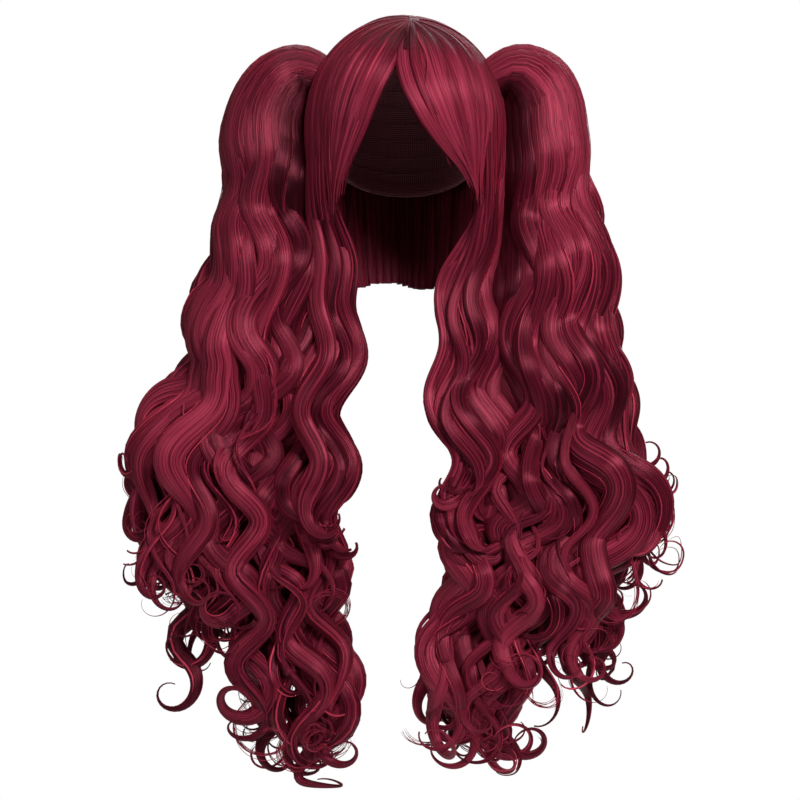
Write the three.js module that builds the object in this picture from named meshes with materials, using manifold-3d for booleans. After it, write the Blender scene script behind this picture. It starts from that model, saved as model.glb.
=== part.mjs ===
// Wig with two clipped-on pigtails: a net cap with combed hair, a parted fringe, long wavy side
// locks, a short back and two long tails of curled locks. Millimetres, +Z up, the face looks to -Y.
// The origin is the top of the hollow, where the wig sits on the crown.

import * as THREE from 'three';
import { mergeVertices } from 'three/addons/utils/BufferGeometryUtils.js';
import Module from 'manifold-3d';

const wasm = await Module();
wasm.setup();

// Head hollow
const headWidth = 156;
const headDepth = 194;
const crownRise = 100;

// Net cap: a wall whose edge runs from the hairline down to the nape
const capWall = 2;
const layGap = 0.9;
const frontEdgeDrop = 50;
const napeDrop = 158;

// Hair lying on the cap: its thickness at the top, at the sides, and at front and back
const hairTop = 8;
const hairSide = 18;
const hairFore = 12;
const ridgeDepth = 1.6;
const ridgeCount = 18;
const seam = 0.3;
const weld = 2e-3;
const pinchGap = 0.05;

// Patch of false scalp at the whorl
const patchWidth = 15;
const patchLength = 38;
const whorlAside = 6;
const whorlForward = 36;
const patchSink = 1.5;

// Levels where the combed pieces start and end, measured down from the origin
const partDrop = 33;
const fringeDropLeft = 172;
const fringeDropRight = 160;
const sideDrop = 182;
const backDrop = 246;
const templeTurn = 53;
const backTurn = 112;
const napeTaper = 0.16;
const fringeThinning = 5;
const backThinning = 5;

// Side locks
const sideLockDrop = 470;
const sideLockWidth = 36;
const sideLockThick = 13;
const lockTip = 0.35;

// Pigtails
const tailSpread = 284;
const tailDrop = 727;
const tailLobes = 6;
const lobeSides = 4;
const bodySteps = 36;
const grooveDepth = 0.26;
const waveDepth = 0.2;
const waveCount = 7.5;
const wavePace = 1.35;
const swayTurn = 0.3;
const ringletWidth = 30;
const ringletThick = 13;
const ringletSteps = 20;
const curlRadius = 24;
const curlPitch = 92;

// Hair clips hidden in the tail roots
const clipLength = 40;
const clipHeight = 18;
const clipDepth = 16;
const clipTurn = 93;
const clipDrop = 52;
const clipTilt = 33;

// A head layer is how far a surface stands outside the hollow at side, fore and top
const capLayer = { side: capWall, fore: capWall, top: capWall };
const innerLayer = { side: capWall + layGap, fore: capWall + layGap, top: capWall + layGap };
const outerLayer = { side: capWall + hairSide, fore: capWall + hairFore, top: capWall + hairTop };
const hollowLayer = { side: 0, fore: 0, top: 0 };

const degrees = THREE.MathUtils.degToRad;
const smooth = THREE.MathUtils.smoothstep;
const lerp = THREE.MathUtils.lerp;

function swollen(layer, swell) {
  return { side: layer.side + swell, fore: layer.fore + swell, top: layer.top + swell };
}

// Layer pulled in sideways only, so that its levels stay
function carved(layer, depth) {
  return { side: layer.side - depth, fore: layer.fore - depth, top: layer.top };
}

function solidOf(geometry) {
  const bare = geometry.clone();
  bare.deleteAttribute('normal');
  bare.deleteAttribute('uv');
  const merged = mergeVertices(bare, weld);
  return new wasm.Manifold(new wasm.Mesh({
    numProp: 3,
    vertProperties: new Float32Array(merged.attributes.position.array),
    triVerts: new Uint32Array(merged.index.array),
  }));
}

// Geometry of a cut or fused solid. Pockets sealed between locks are filled and crumbs that a
// cut leaves go, once before and once after its nearest corners are welded
function geometryOf(solid) {
  const geometry = largestShell(solidOf(largestShell(solid)));
  return unpinched(geometry);
}

// Two walls that touch at a corner or edge draw back from it, each into its own side
function unpinched(geometry) {
  const at = geometry.attributes.position;
  const normal = geometry.attributes.normal;
  const key = (i) => [at.getX(i), at.getY(i), at.getZ(i)].map((v) => Math.round(v / weld)).join();
  const used = [...new Set(geometry.index.array)];
  const keys = new Map();
  used.forEach((i) => keys.set(key(i), (keys.get(key(i)) ?? 0) + 1));
  const pinched = used.filter((i) => keys.get(key(i)) > 1);
  pinched.forEach((i) => {
    const corner = new THREE.Vector3().fromBufferAttribute(at, i);
    const inward = new THREE.Vector3().fromBufferAttribute(normal, i).multiplyScalar(-pinchGap);
    corner.add(inward);
    at.setXYZ(i, corner.x, corner.y, corner.z);
  });
  return geometry;
}

// The largest of the closed shells that share no corner
function largestShell(solid) {
  const mesh = solid.getMesh();
  const corners = new Float32Array(mesh.vertProperties);
  const faces = Array.from(mesh.triVerts);
  const parent = Array.from({ length: corners.length / 3 }, (_, i) => i);
  const rootOf = (i) => {
    let at = i;
    while (parent[at] !== at) {
      parent[at] = parent[parent[at]];
      at = parent[at];
    }
    return at;
  };
  faces.forEach((at, i) => {
    parent[rootOf(at)] = rootOf(faces[i - (i % 3)]);
  });
  const corner = (i) => new THREE.Vector3().fromArray(corners, 3 * faces[i]);
  const volumes = new Map();
  for (let i = 0; i < faces.length; i += 3) {
    const shell = rootOf(faces[i]);
    const volume = corner(i).dot(corner(i + 1).cross(corner(i + 2)));
    volumes.set(shell, (volumes.get(shell) ?? 0) + volume);
  }
  const largest = [...volumes].reduce((best, entry) => (entry[1] > best[1] ? entry : best))[0];
  const geometry = new THREE.BufferGeometry();
  geometry.setAttribute('position', new THREE.BufferAttribute(corners, 3));
  geometry.setIndex(faces.filter((at) => rootOf(at) === largest));
  geometry.computeVertexNormals();
  return geometry;
}

function fused(geometries) {
  return geometries.map(solidOf).reduce((whole, piece) => whole.add(piece));
}

// A closed body with round sections: place(x, y, share) puts a point of the unit section
function lofted(sides, steps, place) {
  const geometry = new THREE.CylinderGeometry(1, 1, 1, sides, steps);
  const at = geometry.attributes.position;
  for (let i = 0; i < at.count; i += 1) {
    const point = place(at.getX(i), at.getZ(i), 0.5 - at.getY(i));
    at.setXYZ(i, point.x, point.y, point.z);
  }
  return geometry;
}

// A curtain of hair: place(across, down, layer) with every value from 0 to 1
function curtain(across, down, place) {
  const geometry = new THREE.BoxGeometry(1, 1, 1, across, down, 1);
  const at = geometry.attributes.position;
  for (let i = 0; i < at.count; i += 1) {
    const point = place(at.getX(i) + 0.5, 0.5 - at.getY(i), at.getZ(i) + 0.5);
    at.setXYZ(i, point.x, point.y, point.z);
  }
  return geometry;
}

// A dome with a wall: place(turn, share, isInner) with share from 0 at the pole to 1 at the rim
function domed(segments, rows, place) {
  const rings = 2 * rows + 1;
  const geometry = new THREE.SphereGeometry(1, segments, rings);
  const at = geometry.attributes.position;
  const uv = geometry.attributes.uv;
  for (let i = 0; i < at.count; i += 1) {
    const ring = Math.round((1 - uv.getY(i)) * rings);
    const turn = uv.getX(i) * 2 * Math.PI - Math.PI / 2;
    const isInner = ring > rows;
    const share = isInner ? (rings - ring) / rows : ring / rows;
    const point = place(share === 0 ? 0 : turn, share, isInner);
    at.setXYZ(i, point.x, point.y, point.z);
  }
  return geometry;
}

// Point of a head layer: turn is the way it looks seen from above, 0 at the front and growing
// towards +X, and tip is the angle down from the crown
function headPoint(turn, tip, layer) {
  const aside = Math.sin(turn) / (headWidth / 2 + layer.side);
  const ahead = Math.cos(turn) / (headDepth / 2 + layer.fore);
  const radius = Math.sin(tip) / Math.hypot(aside, ahead);
  return new THREE.Vector3(
    radius * Math.sin(turn),
    -radius * Math.cos(turn),
    (crownRise + layer.top) * Math.cos(tip) - crownRise,
  );
}

// Tip angle of a layer where it is drop millimetres below the origin
function tipAt(drop, layer) {
  return Math.acos(THREE.MathUtils.clamp((crownRise - drop) / (crownRise + layer.top), -1, 1));
}

// Point of hanging hair: on the head down to its widest line, plumb below it, tapered at the nape
function hangingPoint(turn, drop, layer) {
  const onHead = Math.min(drop, crownRise);
  const point = headPoint(turn, tipAt(onHead, layer), layer);
  const below = Math.max(drop - crownRise, 0) / (backDrop - crownRise);
  const taper = 1 - napeTaper * below * below * smooth(-Math.cos(turn), -0.2, 1);
  point.x *= taper;
  point.y *= taper;
  point.z = -drop;
  return point;
}

// Turn at which a hanging layer reaches a sideways place, on the front of the head
function turnAt(aside, drop, layer) {
  const shrink = Math.sin(tipAt(Math.min(drop, crownRise), layer));
  const share = THREE.MathUtils.clamp(aside / (headWidth / 2 + layer.side) / shrink, -1, 1);
  const ahead = (headDepth / 2 + layer.fore) * shrink * Math.sqrt(1 - share * share);
  return Math.atan2(aside, ahead);
}

function capEdgeTip(turn) {
  const front = tipAt(frontEdgeDrop, hollowLayer);
  const nape = tipAt(napeDrop, hollowLayer);
  return lerp(front, nape, Math.pow((1 - Math.cos(turn)) / 2, 0.8));
}

function makeCap() {
  return domed(28, 6, (turn, share, isInner) => {
    const layer = isInner ? hollowLayer : capLayer;
    return headPoint(turn, capEdgeTip(turn) * share, layer);
  });
}

function ovalColumn(width, length) {
  const oval = new THREE.Shape();
  oval.absellipse(whorlAside, -whorlForward, width / 2, length / 2, 0, 2 * Math.PI);
  const column = new THREE.ExtrudeGeometry(oval, {
    depth: 2 * crownRise,
    bevelEnabled: false,
    curveSegments: 8,
  });
  column.translate(0, 0, -crownRise);
  return solidOf(column);
}

// Depth of the shallow grooves between combed locks
function ridge(turn) {
  return ridgeDepth * (0.5 - 0.5 * Math.cos(turn * ridgeCount));
}

// Dome of hair above the parting level, combed out from the whorl in shallow locks
function makeCrown() {
  const dome = domed(2 * ridgeCount, 5, (turn, share, isInner) => {
    const layer = isInner ? innerLayer : outerLayer;
    const depth = isInner ? 0 : ridge(turn) * Math.sqrt(share);
    return headPoint(turn, tipAt(partDrop, layer) * share, carved(layer, depth));
  });
  return solidOf(dome).subtract(ovalColumn(patchWidth + 2 * seam, patchLength + 2 * seam));
}

function makeScalpPatch() {
  const top = swollen(outerLayer, -patchSink);
  const dome = domed(24, 5, (turn, share, isInner) => {
    const layer = isInner ? innerLayer : top;
    return headPoint(turn, tipAt(partDrop, layer) * share, layer);
  });
  return solidOf(dome).intersect(ovalColumn(patchWidth, patchLength));
}

// Inner edges of the fringe: down is a share of the fringe's own drop below the parting,
// aside a share of half the head's width
const fringeEdges = {
  left: [
    { down: 0.0, aside: -0.07 },
    { down: 0.17, aside: -0.26 },
    { down: 0.38, aside: -0.39 },
    { down: 0.6, aside: -0.54 },
    { down: 0.8, aside: -0.71 },
    { down: 1.0, aside: -0.78 },
  ],
  right: [
    { down: 0.0, aside: -0.06 },
    { down: 0.19, aside: -0.05 },
    { down: 0.42, aside: 0.08 },
    { down: 0.64, aside: 0.3 },
    { down: 0.82, aside: 0.53 },
    { down: 1.0, aside: 0.81 },
  ],
};

// Value of a column where the key column reaches a share
function tableValue(rows, key, share, column) {
  let i = 1;
  while (i < rows.length - 1 && rows[i][key] < share) {
    i += 1;
  }
  const part = (share - rows[i - 1][key]) / (rows[i][key] - rows[i - 1][key]);
  return lerp(rows[i - 1][column], rows[i][column], part);
}

// Drop of a curtain's rows: half of them round the head to its widest line, half hang below it
function panelDrop(down, end) {
  const upper = Math.min(down * 2, 1);
  const tip = lerp(tipAt(partDrop + seam, outerLayer), Math.PI / 2, upper);
  const onHead = crownRise - (crownRise + outerLayer.top) * Math.cos(tip);
  return lerp(onHead, end, Math.max(down * 2 - 1, 0));
}

function makeFringe(side) {
  const sign = side === 'left' ? -1 : 1;
  const end = side === 'left' ? fringeDropLeft : fringeDropRight;
  const edge = fringeEdges[side];
  return curtain(6, 8, (across, down, layer) => {
    const drop = panelDrop(down, end);
    const outward = sign < 0 ? 1 - across : across;
    const fallen = (drop - partDrop) / (end - partDrop);
    const aside = tableValue(edge, 'down', fallen, 'aside') * headWidth / 2;
    const inside = turnAt(aside, drop, outerLayer) + sign * degrees(seam / 2);
    const turn = lerp(inside, sign * degrees(templeTurn), outward);
    const depth = fringeThinning * smooth(down, 0.1, 1) + ridge(turn);
    return hangingPoint(turn, drop, layer > 0.5 ? carved(outerLayer, depth) : innerLayer);
  });
}

// Temple panel that carries the side locks
function templePanel(side) {
  const sign = side === 'left' ? -1 : 1;
  const from = templeTurn + seam;
  const until = backTurn - seam;
  return curtain(6, 8, (across, down, layer) => {
    const outward = sign < 0 ? 1 - across : across;
    const turn = sign * degrees(lerp(from, until, outward));
    const surface = layer > 0.5 ? carved(outerLayer, ridge(turn)) : innerLayer;
    return hangingPoint(turn, panelDrop(down, sideDrop), surface);
  });
}

// Routes of the side locks: drop is a share of their whole drop, aside of half the head's width,
// fore of half its depth, wave sways them in and out
const sideRoutes = {
  left: [
    [
      { drop: 0.28, aside: 1.0, fore: 0.3 },
      { drop: 0.42, aside: 0.86, fore: 0.28 },
      { drop: 0.55, aside: 0.68, fore: 0.34 },
      { drop: 0.68, aside: 0.66, fore: 0.46 },
      { drop: 0.8, aside: 0.82, fore: 0.58 },
      { drop: 0.9, aside: 0.72, fore: 0.62 },
      { drop: 1.0, aside: 0.86, fore: 0.56 },
    ],
    [
      { drop: 0.28, aside: 1.12, fore: 0.2 },
      { drop: 0.44, aside: 1.12, fore: 0.14 },
      { drop: 0.6, aside: 0.98, fore: 0.26 },
      { drop: 0.74, aside: 1.06, fore: 0.4 },
      { drop: 0.86, aside: 0.94, fore: 0.36 },
      { drop: 0.94, aside: 1.08, fore: 0.42 },
    ],
  ],
  right: [
    [
      { drop: 0.28, aside: 0.98, fore: 0.3 },
      { drop: 0.42, aside: 0.78, fore: 0.28 },
      { drop: 0.54, aside: 0.54, fore: 0.34 },
      { drop: 0.68, aside: 0.45, fore: 0.46 },
      { drop: 0.8, aside: 0.42, fore: 0.6 },
      { drop: 0.9, aside: 0.62, fore: 0.6 },
      { drop: 1.0, aside: 0.5, fore: 0.56 },
    ],
    [
      { drop: 0.28, aside: 1.1, fore: 0.2 },
      { drop: 0.44, aside: 1.04, fore: 0.14 },
      { drop: 0.6, aside: 0.86, fore: 0.26 },
      { drop: 0.74, aside: 0.84, fore: 0.4 },
      { drop: 0.86, aside: 0.98, fore: 0.36 },
      { drop: 0.94, aside: 0.86, fore: 0.42 },
    ],
  ],
};

// Tube of hair along points: facing gives the way its flat side looks at each point
function lockAlong(points, facing, width, thick, sides) {
  const steps = points.length - 1;
  return lofted(sides, steps, (x, y, share) => {
    const i = Math.round(share * steps);
    const before = points[Math.max(i - 1, 0)];
    const after = points[Math.min(i + 1, steps)];
    const along = new THREE.Vector3().subVectors(after, before).normalize();
    const out = facing[i].clone().addScaledVector(along, -facing[i].dot(along)).normalize();
    const across = new THREE.Vector3().crossVectors(out, along);
    return points[i].clone()
      .addScaledVector(across, x * width(share) / 2)
      .addScaledVector(out, y * thick(share) / 2);
  });
}

// Share of a lock's full section along it: slim where it leaves its root, tapered to its tip
function lockShare(share, rootShare) {
  const tapered = lerp(1, lockTip, Math.pow(share, 2.5));
  return Math.min(tapered, lerp(rootShare, 1, Math.min(share * 5, 1)));
}

function sideLock(side, route, swell) {
  const sign = side === 'left' ? -1 : 1;
  const curve = new THREE.CatmullRomCurve3(route.map((row) => new THREE.Vector3(
    sign * row.aside * headWidth / 2,
    -row.fore * headDepth / 2,
    -row.drop * sideLockDrop,
  )));
  const points = curve.getPoints(14);
  const facing = points.map(() => new THREE.Vector3(sign * 0.5, -1, 0));
  const width = (share) => sideLockWidth * lockShare(share, 1) + 2 * swell;
  const thick = (share) => sideLockThick * lockShare(share, 1) + 2 * swell;
  return lockAlong(points, facing, width, thick, 6);
}

function makeSideLocks(side, swell) {
  return sideRoutes[side].map((route) => sideLock(side, route, swell));
}

function makeBack() {
  return curtain(14, 8, (across, down, layer) => {
    const turn = degrees(lerp(backTurn, 360 - backTurn, across));
    const drop = panelDrop(down, backDrop);
    const depth = ridge(turn) + backThinning * smooth(down, 0.5, 1);
    return hangingPoint(turn, drop, layer > 0.5 ? carved(outerLayer, depth) : innerLayer);
  });
}

// Filled body of all hair on the head, which the tails and clips keep clear of
function headBulk(swell) {
  const layer = swollen(outerLayer, swell);
  const widestShare = 0.6;
  return solidOf(lofted(36, 15, (x, y, share) => {
    const turn = Math.atan2(x, y);
    const radius = Math.hypot(x, y);
    const tip = lerp(degrees(4), Math.PI / 2, Math.min(share / widestShare, 1));
    const below = Math.max(share - widestShare, 0) / (1 - widestShare);
    const rim = below > 0
      ? hangingPoint(turn, lerp(crownRise, sideDrop + swell, below), layer)
      : headPoint(turn, tip, layer);
    return new THREE.Vector3(rim.x * radius, rim.y * radius, rim.z);
  }));
}

// Sections of the pigtails from root to end: out and wide are shares of the spread, drop of the
// tail's drop, fore (towards the face) and deep of the spread too
const tailSections = {
  left: [
    { drop: 0.068, out: 0.25, fore: -0.02, wide: 0.06, deep: 0.075 },
    { drop: 0.052, out: 0.345, fore: -0.02, wide: 0.075, deep: 0.09 },
    { drop: 0.066, out: 0.412, fore: -0.015, wide: 0.098, deep: 0.115 },
    { drop: 0.1, out: 0.462, fore: -0.01, wide: 0.115, deep: 0.13 },
    { drop: 0.15, out: 0.489, fore: 0.0, wide: 0.136, deep: 0.15 },
    { drop: 0.21, out: 0.478, fore: 0.01, wide: 0.16, deep: 0.165 },
    { drop: 0.285, out: 0.462, fore: 0.02, wide: 0.178, deep: 0.18 },
    { drop: 0.365, out: 0.51, fore: 0.03, wide: 0.225, deep: 0.195 },
    { drop: 0.445, out: 0.508, fore: 0.04, wide: 0.222, deep: 0.2 },
    { drop: 0.53, out: 0.58, fore: 0.05, wide: 0.3, deep: 0.215 },
    { drop: 0.615, out: 0.605, fore: 0.06, wide: 0.342, deep: 0.225 },
    { drop: 0.695, out: 0.6, fore: 0.07, wide: 0.38, deep: 0.225 },
    { drop: 0.768, out: 0.53, fore: 0.08, wide: 0.35, deep: 0.21 },
    { drop: 0.834, out: 0.435, fore: 0.08, wide: 0.275, deep: 0.185 },
    { drop: 0.9, out: 0.36, fore: 0.08, wide: 0.215, deep: 0.15 },
    { drop: 0.955, out: 0.37, fore: 0.08, wide: 0.15, deep: 0.11 },
    { drop: 1.0, out: 0.42, fore: 0.08, wide: 0.07, deep: 0.06 },
  ],
  right: [
    { drop: 0.07, out: 0.27, fore: -0.02, wide: 0.06, deep: 0.075 },
    { drop: 0.052, out: 0.372, fore: -0.02, wide: 0.075, deep: 0.09 },
    { drop: 0.068, out: 0.44, fore: -0.015, wide: 0.1, deep: 0.115 },
    { drop: 0.102, out: 0.482, fore: -0.01, wide: 0.113, deep: 0.13 },
    { drop: 0.15, out: 0.486, fore: 0.0, wide: 0.13, deep: 0.15 },
    { drop: 0.21, out: 0.499, fore: 0.01, wide: 0.15, deep: 0.165 },
    { drop: 0.285, out: 0.509, fore: 0.02, wide: 0.165, deep: 0.18 },
    { drop: 0.365, out: 0.5, fore: 0.03, wide: 0.22, deep: 0.195 },
    { drop: 0.445, out: 0.516, fore: 0.04, wide: 0.222, deep: 0.2 },
    { drop: 0.53, out: 0.53, fore: 0.05, wide: 0.3, deep: 0.215 },
    { drop: 0.615, out: 0.57, fore: 0.06, wide: 0.36, deep: 0.225 },
    { drop: 0.685, out: 0.548, fore: 0.07, wide: 0.4, deep: 0.225 },
    { drop: 0.76, out: 0.445, fore: 0.08, wide: 0.345, deep: 0.21 },
    { drop: 0.825, out: 0.375, fore: 0.08, wide: 0.32, deep: 0.185 },
    { drop: 0.89, out: 0.275, fore: 0.08, wide: 0.255, deep: 0.15 },
    { drop: 0.95, out: 0.25, fore: 0.08, wide: 0.15, deep: 0.11 },
    { drop: 1.0, out: 0.31, fore: 0.08, wide: 0.07, deep: 0.06 },
  ],
};

// Centre line of a tail with its half sizes and its two cross directions
function tailAxis(side) {
  const sign = side === 'left' ? -1 : 1;
  const rows = tailSections[side];
  const line = new THREE.CatmullRomCurve3(rows.map((row) => new THREE.Vector3(
    sign * row.out * tailSpread,
    -row.fore * tailSpread,
    -row.drop * tailDrop,
  )));
  const sizes = new THREE.CatmullRomCurve3(rows.map((row) => new THREE.Vector3(row.wide, row.deep, 0)));
  return (share) => {
    const along = line.getTangent(share);
    const half = sizes.getPoint(share).multiplyScalar(tailSpread);
    const back = new THREE.Vector3(0, 1, 0).addScaledVector(along, -along.y).normalize();
    const across = new THREE.Vector3().crossVectors(back, along);
    return { centre: line.getPoint(share), across, back, half };
  };
}

// Body of the tail: main locks side by side, straight at the root, which sway to and fro and
// swell in waves further down
function tailBody(axis) {
  return lofted(lobeSides * tailLobes, bodySteps, (x, y, share) => {
    const { centre, across, back, half } = axis(share);
    const angle = Math.atan2(y, x);
    const radius = Math.hypot(x, y);
    const loose = smooth(share, 0.12, 0.5);
    const beat = waveCount * 2 * Math.PI * Math.pow(share, wavePace);
    const lane = tailLobes * (angle + loose * swayTurn * Math.sin(beat));
    const groove = grooveDepth * lerp(0.4, 1, loose) * (0.5 - 0.5 * Math.cos(lane));
    const swell = waveDepth * loose * (0.5 - 0.5 * Math.cos(beat + 2 * angle));
    const reach = radius * (1 - groove - swell);
    return centre.clone()
      .addScaledVector(across, Math.cos(angle) * half.x * reach)
      .addScaledVector(back, Math.sin(angle) * half.y * reach);
  });
}

// Free ringlets: end is where the tip comes on the tail, angle the side it hangs on
const ringlets = [
  { start: 0.36, end: 0.78, angle: 200, hand: 1 },
  { start: 0.44, end: 0.72, angle: 160, hand: -1 },
  { start: 0.56, end: 0.985, angle: 265, hand: -1 },
];

// One ringlet: it leaves the body and winds down along it, wider towards its tip
function ringlet(axis, { start, end, angle, hand }) {
  const points = [];
  const facing = [];
  let phase = degrees(angle);
  let last = axis(start).centre;
  for (let i = 0; i <= ringletSteps; i += 1) {
    const share = lerp(start, end, i / ringletSteps);
    const { centre, across, back, half } = axis(share);
    phase += hand * 2 * Math.PI * centre.distanceTo(last) / curlPitch;
    last = centre;
    const curl = Math.min(curlRadius * smooth(i / ringletSteps, -0.3, 0.6), half.x, half.y);
    const swing = across.clone().multiplyScalar(Math.cos(phase)).addScaledVector(back, Math.sin(phase));
    points.push(centre.clone()
      .addScaledVector(across, Math.cos(degrees(angle)) * Math.max(half.x - curl, 0))
      .addScaledVector(back, Math.sin(degrees(angle)) * Math.max(half.y - curl, 0))
      .addScaledVector(swing, curl));
    facing.push(swing);
  }
  const width = (share) => ringletWidth * lockShare(share, 0.4);
  const thick = (share) => ringletThick * lockShare(share, 0.4);
  return lockAlong(points, facing, width, thick, 5);
}

// Clip: a short bar seated on the head hair, inside the tail's root
function clipBlock(side, swell) {
  const sign = side === 'left' ? -1 : 1;
  const seat = hangingPoint(sign * degrees(clipTurn), clipDrop, outerLayer);
  const block = new THREE.BoxGeometry(clipDepth + 2 * swell, clipLength + 2 * swell, clipHeight + 2 * swell);
  block.rotateY(-sign * degrees(clipTilt));
  block.translate(seat.x, seat.y, seat.z);
  return solidOf(block);
}

function makeClip(side) {
  return clipBlock(side, 0).subtract(headBulk(layGap));
}

function makeTail(side) {
  const axis = tailAxis(side);
  const isLeft = side === 'left';
  const curls = ringlets.map((row) => ringlet(axis, {
    start: row.start,
    end: row.end,
    angle: isLeft ? row.angle : 180 - row.angle,
    hand: isLeft ? row.hand : -row.hand,
  }));
  const whole = fused([tailBody(axis), ...curls]);
  const clear = [headBulk(layGap), clipBlock(side, seam), ...makeSideLocks(side, seam).map(solidOf)];
  return clear.reduce((left, cutter) => left.subtract(cutter), whole);
}

// Finishes: dyed synthetic fibre, nylon net, false skin and moulded plastic
const fibre = { color: 0x6a1f2e, roughness: 0.45, metalness: 0 };
const finishes = {
  wig_cap: { color: 0x3a2024, roughness: 0.9, metalness: 0 },
  scalp_patch: { color: 0x9a8284, roughness: 0.8, metalness: 0 },
  clip_left: { color: 0x1a1214, roughness: 0.35, metalness: 0 },
  clip_right: { color: 0x1a1214, roughness: 0.35, metalness: 0 },
};

const wig = new THREE.Group();

function addPiece(name, geometry) {
  const piece = new THREE.Mesh(geometry, new THREE.MeshStandardMaterial(finishes[name] ?? fibre));
  piece.name = name;
  wig.add(piece);
}

addPiece('wig_cap', makeCap());
addPiece('scalp_patch', geometryOf(makeScalpPatch()));
addPiece('crown_hair', geometryOf(makeCrown()));
addPiece('back_hair', makeBack());
for (const side of ['left', 'right']) {
  addPiece(`fringe_${side}`, makeFringe(side));
  addPiece(`side_lock_${side}`, geometryOf(fused([templePanel(side), ...makeSideLocks(side, 0)])));
  addPiece(`clip_${side}`, geometryOf(makeClip(side)));
  addPiece(`pigtail_${side}`, geometryOf(makeTail(side)));
}

export default wig;
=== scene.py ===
import math

import bmesh
import bpy
import numpy as np
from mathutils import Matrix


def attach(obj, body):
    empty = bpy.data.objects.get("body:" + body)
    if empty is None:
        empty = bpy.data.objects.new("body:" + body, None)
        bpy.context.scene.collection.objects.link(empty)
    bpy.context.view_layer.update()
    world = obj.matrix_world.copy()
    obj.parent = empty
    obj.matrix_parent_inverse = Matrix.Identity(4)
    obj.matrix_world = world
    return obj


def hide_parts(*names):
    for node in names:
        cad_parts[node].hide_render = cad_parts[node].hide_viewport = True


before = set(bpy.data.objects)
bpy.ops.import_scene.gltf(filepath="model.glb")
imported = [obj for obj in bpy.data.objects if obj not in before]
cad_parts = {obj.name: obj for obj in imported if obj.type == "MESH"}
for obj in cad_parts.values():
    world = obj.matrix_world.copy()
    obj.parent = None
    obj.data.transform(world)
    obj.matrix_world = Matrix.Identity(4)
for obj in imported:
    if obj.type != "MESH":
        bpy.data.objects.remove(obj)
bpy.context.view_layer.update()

# Camera: level with the middle of the wig, 2.6 m in front of it, with a long lens that takes in
# 768 mm at the wig. The origin lies a little right of the middle of the view.
VIEW_WIDTH = 0.768
SENSOR_WIDTH = 36
CAMERA_PLACE = (-0.0048, -2.6, -0.3597)

camera_data = bpy.data.cameras.new("camera")
camera_data.sensor_width = SENSOR_WIDTH
camera_data.lens = SENSOR_WIDTH * abs(CAMERA_PLACE[1]) / VIEW_WIDTH
camera = bpy.data.objects.new("camera", camera_data)
camera.location = CAMERA_PLACE
camera.rotation_euler = (math.pi / 2, 0, 0)
bpy.context.scene.collection.objects.link(camera)
bpy.context.scene.camera = camera

# Net cap: an elastic mesh of nylon yarn, cut in panels and sewn on the inside with rows of weft,
# with a wide elastic band round its edge. It is what grips the head.
HEAD_WIDTH = 0.156
HEAD_DEPTH = 0.194
CROWN_RISE = 0.100
CAP_WALL = 0.002
FRONT_EDGE_DROP = 0.050
NAPE_DROP = 0.158
CAP_ROWS = 25
CAP_COLUMNS = 96
NET_SCALE = 160.0
NO_LAYER = np.array([0.0, 0.0, 0.0])
CAP_LAYER = np.array([CAP_WALL, CAP_WALL, CAP_WALL])


def linear(code):
    """Linear colour of an sRGB hex code."""
    parts = [int(code[i:i + 2], 16) / 255 for i in (1, 3, 5)]
    lit = [c / 12.92 if c <= 0.04045 else ((c + 0.055) / 1.055) ** 2.4 for c in parts]
    return (*lit, 1.0)


def add_node(tree, kind, settings=None, links=None):
    """A node with its settings, and with its inputs set to values or linked to sockets."""
    node = tree.nodes.new(kind)
    for name, value in (settings or {}).items():
        setattr(node, name, value)
    for name, value in (links or {}).items():
        if isinstance(value, bpy.types.NodeSocket):
            tree.links.new(value, node.inputs[name])
        else:
            node.inputs[name].default_value = value
    return node


def smoothstep(value, low, high):
    """Share from 0 below low to 1 above high, with a smooth start and end."""
    share = np.clip((value - low) / (high - low), 0, 1)
    return share * share * (3 - 2 * share)


def mix(low, high, share):
    """Value that lies a share of the way from low to high."""
    return low + (high - low) * share


def unit(vectors):
    """The same directions at length 1."""
    return vectors / np.maximum(np.linalg.norm(vectors, axis=-1, keepdims=True), 1e-9)


def tip_at(drop, layer):
    """Angle down from the crown at which a layer of the head lies that far below the origin."""
    return np.arccos(np.clip((CROWN_RISE - drop) / (CROWN_RISE + layer[2]), -1, 1))


def head_point(turn, tip, layer):
    """Point of a head layer: turn is 0 at the front and grows towards +X, tip is 0 on top."""
    aside = np.sin(turn) / (HEAD_WIDTH / 2 + layer[0])
    ahead = np.cos(turn) / (HEAD_DEPTH / 2 + layer[1])
    radius = np.sin(tip) / np.hypot(aside, ahead)
    height = (CROWN_RISE + layer[2]) * np.cos(tip) - CROWN_RISE
    return np.stack([radius * np.sin(turn), -radius * np.cos(turn), height + 0 * radius], -1)


def cap_edge_tip(turn):
    """Angle down from the crown at which the cap ends, from the hairline to the nape."""
    front = tip_at(FRONT_EDGE_DROP, NO_LAYER)
    nape = tip_at(NAPE_DROP, NO_LAYER)
    return mix(front, nape, ((1 - np.cos(turn)) / 2) ** 0.8)


def mesh_piece(name, points, faces, material, smooth=True):
    """An object made of points and faces, at the origin."""
    mesh = bpy.data.meshes.new(name)
    mesh.from_pydata([tuple(p) for p in points], [], faces)
    mesh.materials.append(material)
    mesh.polygons.foreach_set("use_smooth", [smooth] * len(mesh.polygons))
    mesh.update()
    piece = bpy.data.objects.new(name, mesh)
    bpy.context.scene.collection.objects.link(piece)
    return piece


def new_finish(name):
    """A material with its node tree and its main shader."""
    material = bpy.data.materials.new(name)
    material.use_nodes = True
    return material, material.node_tree, material.node_tree.nodes["Principled BSDF"]


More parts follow.
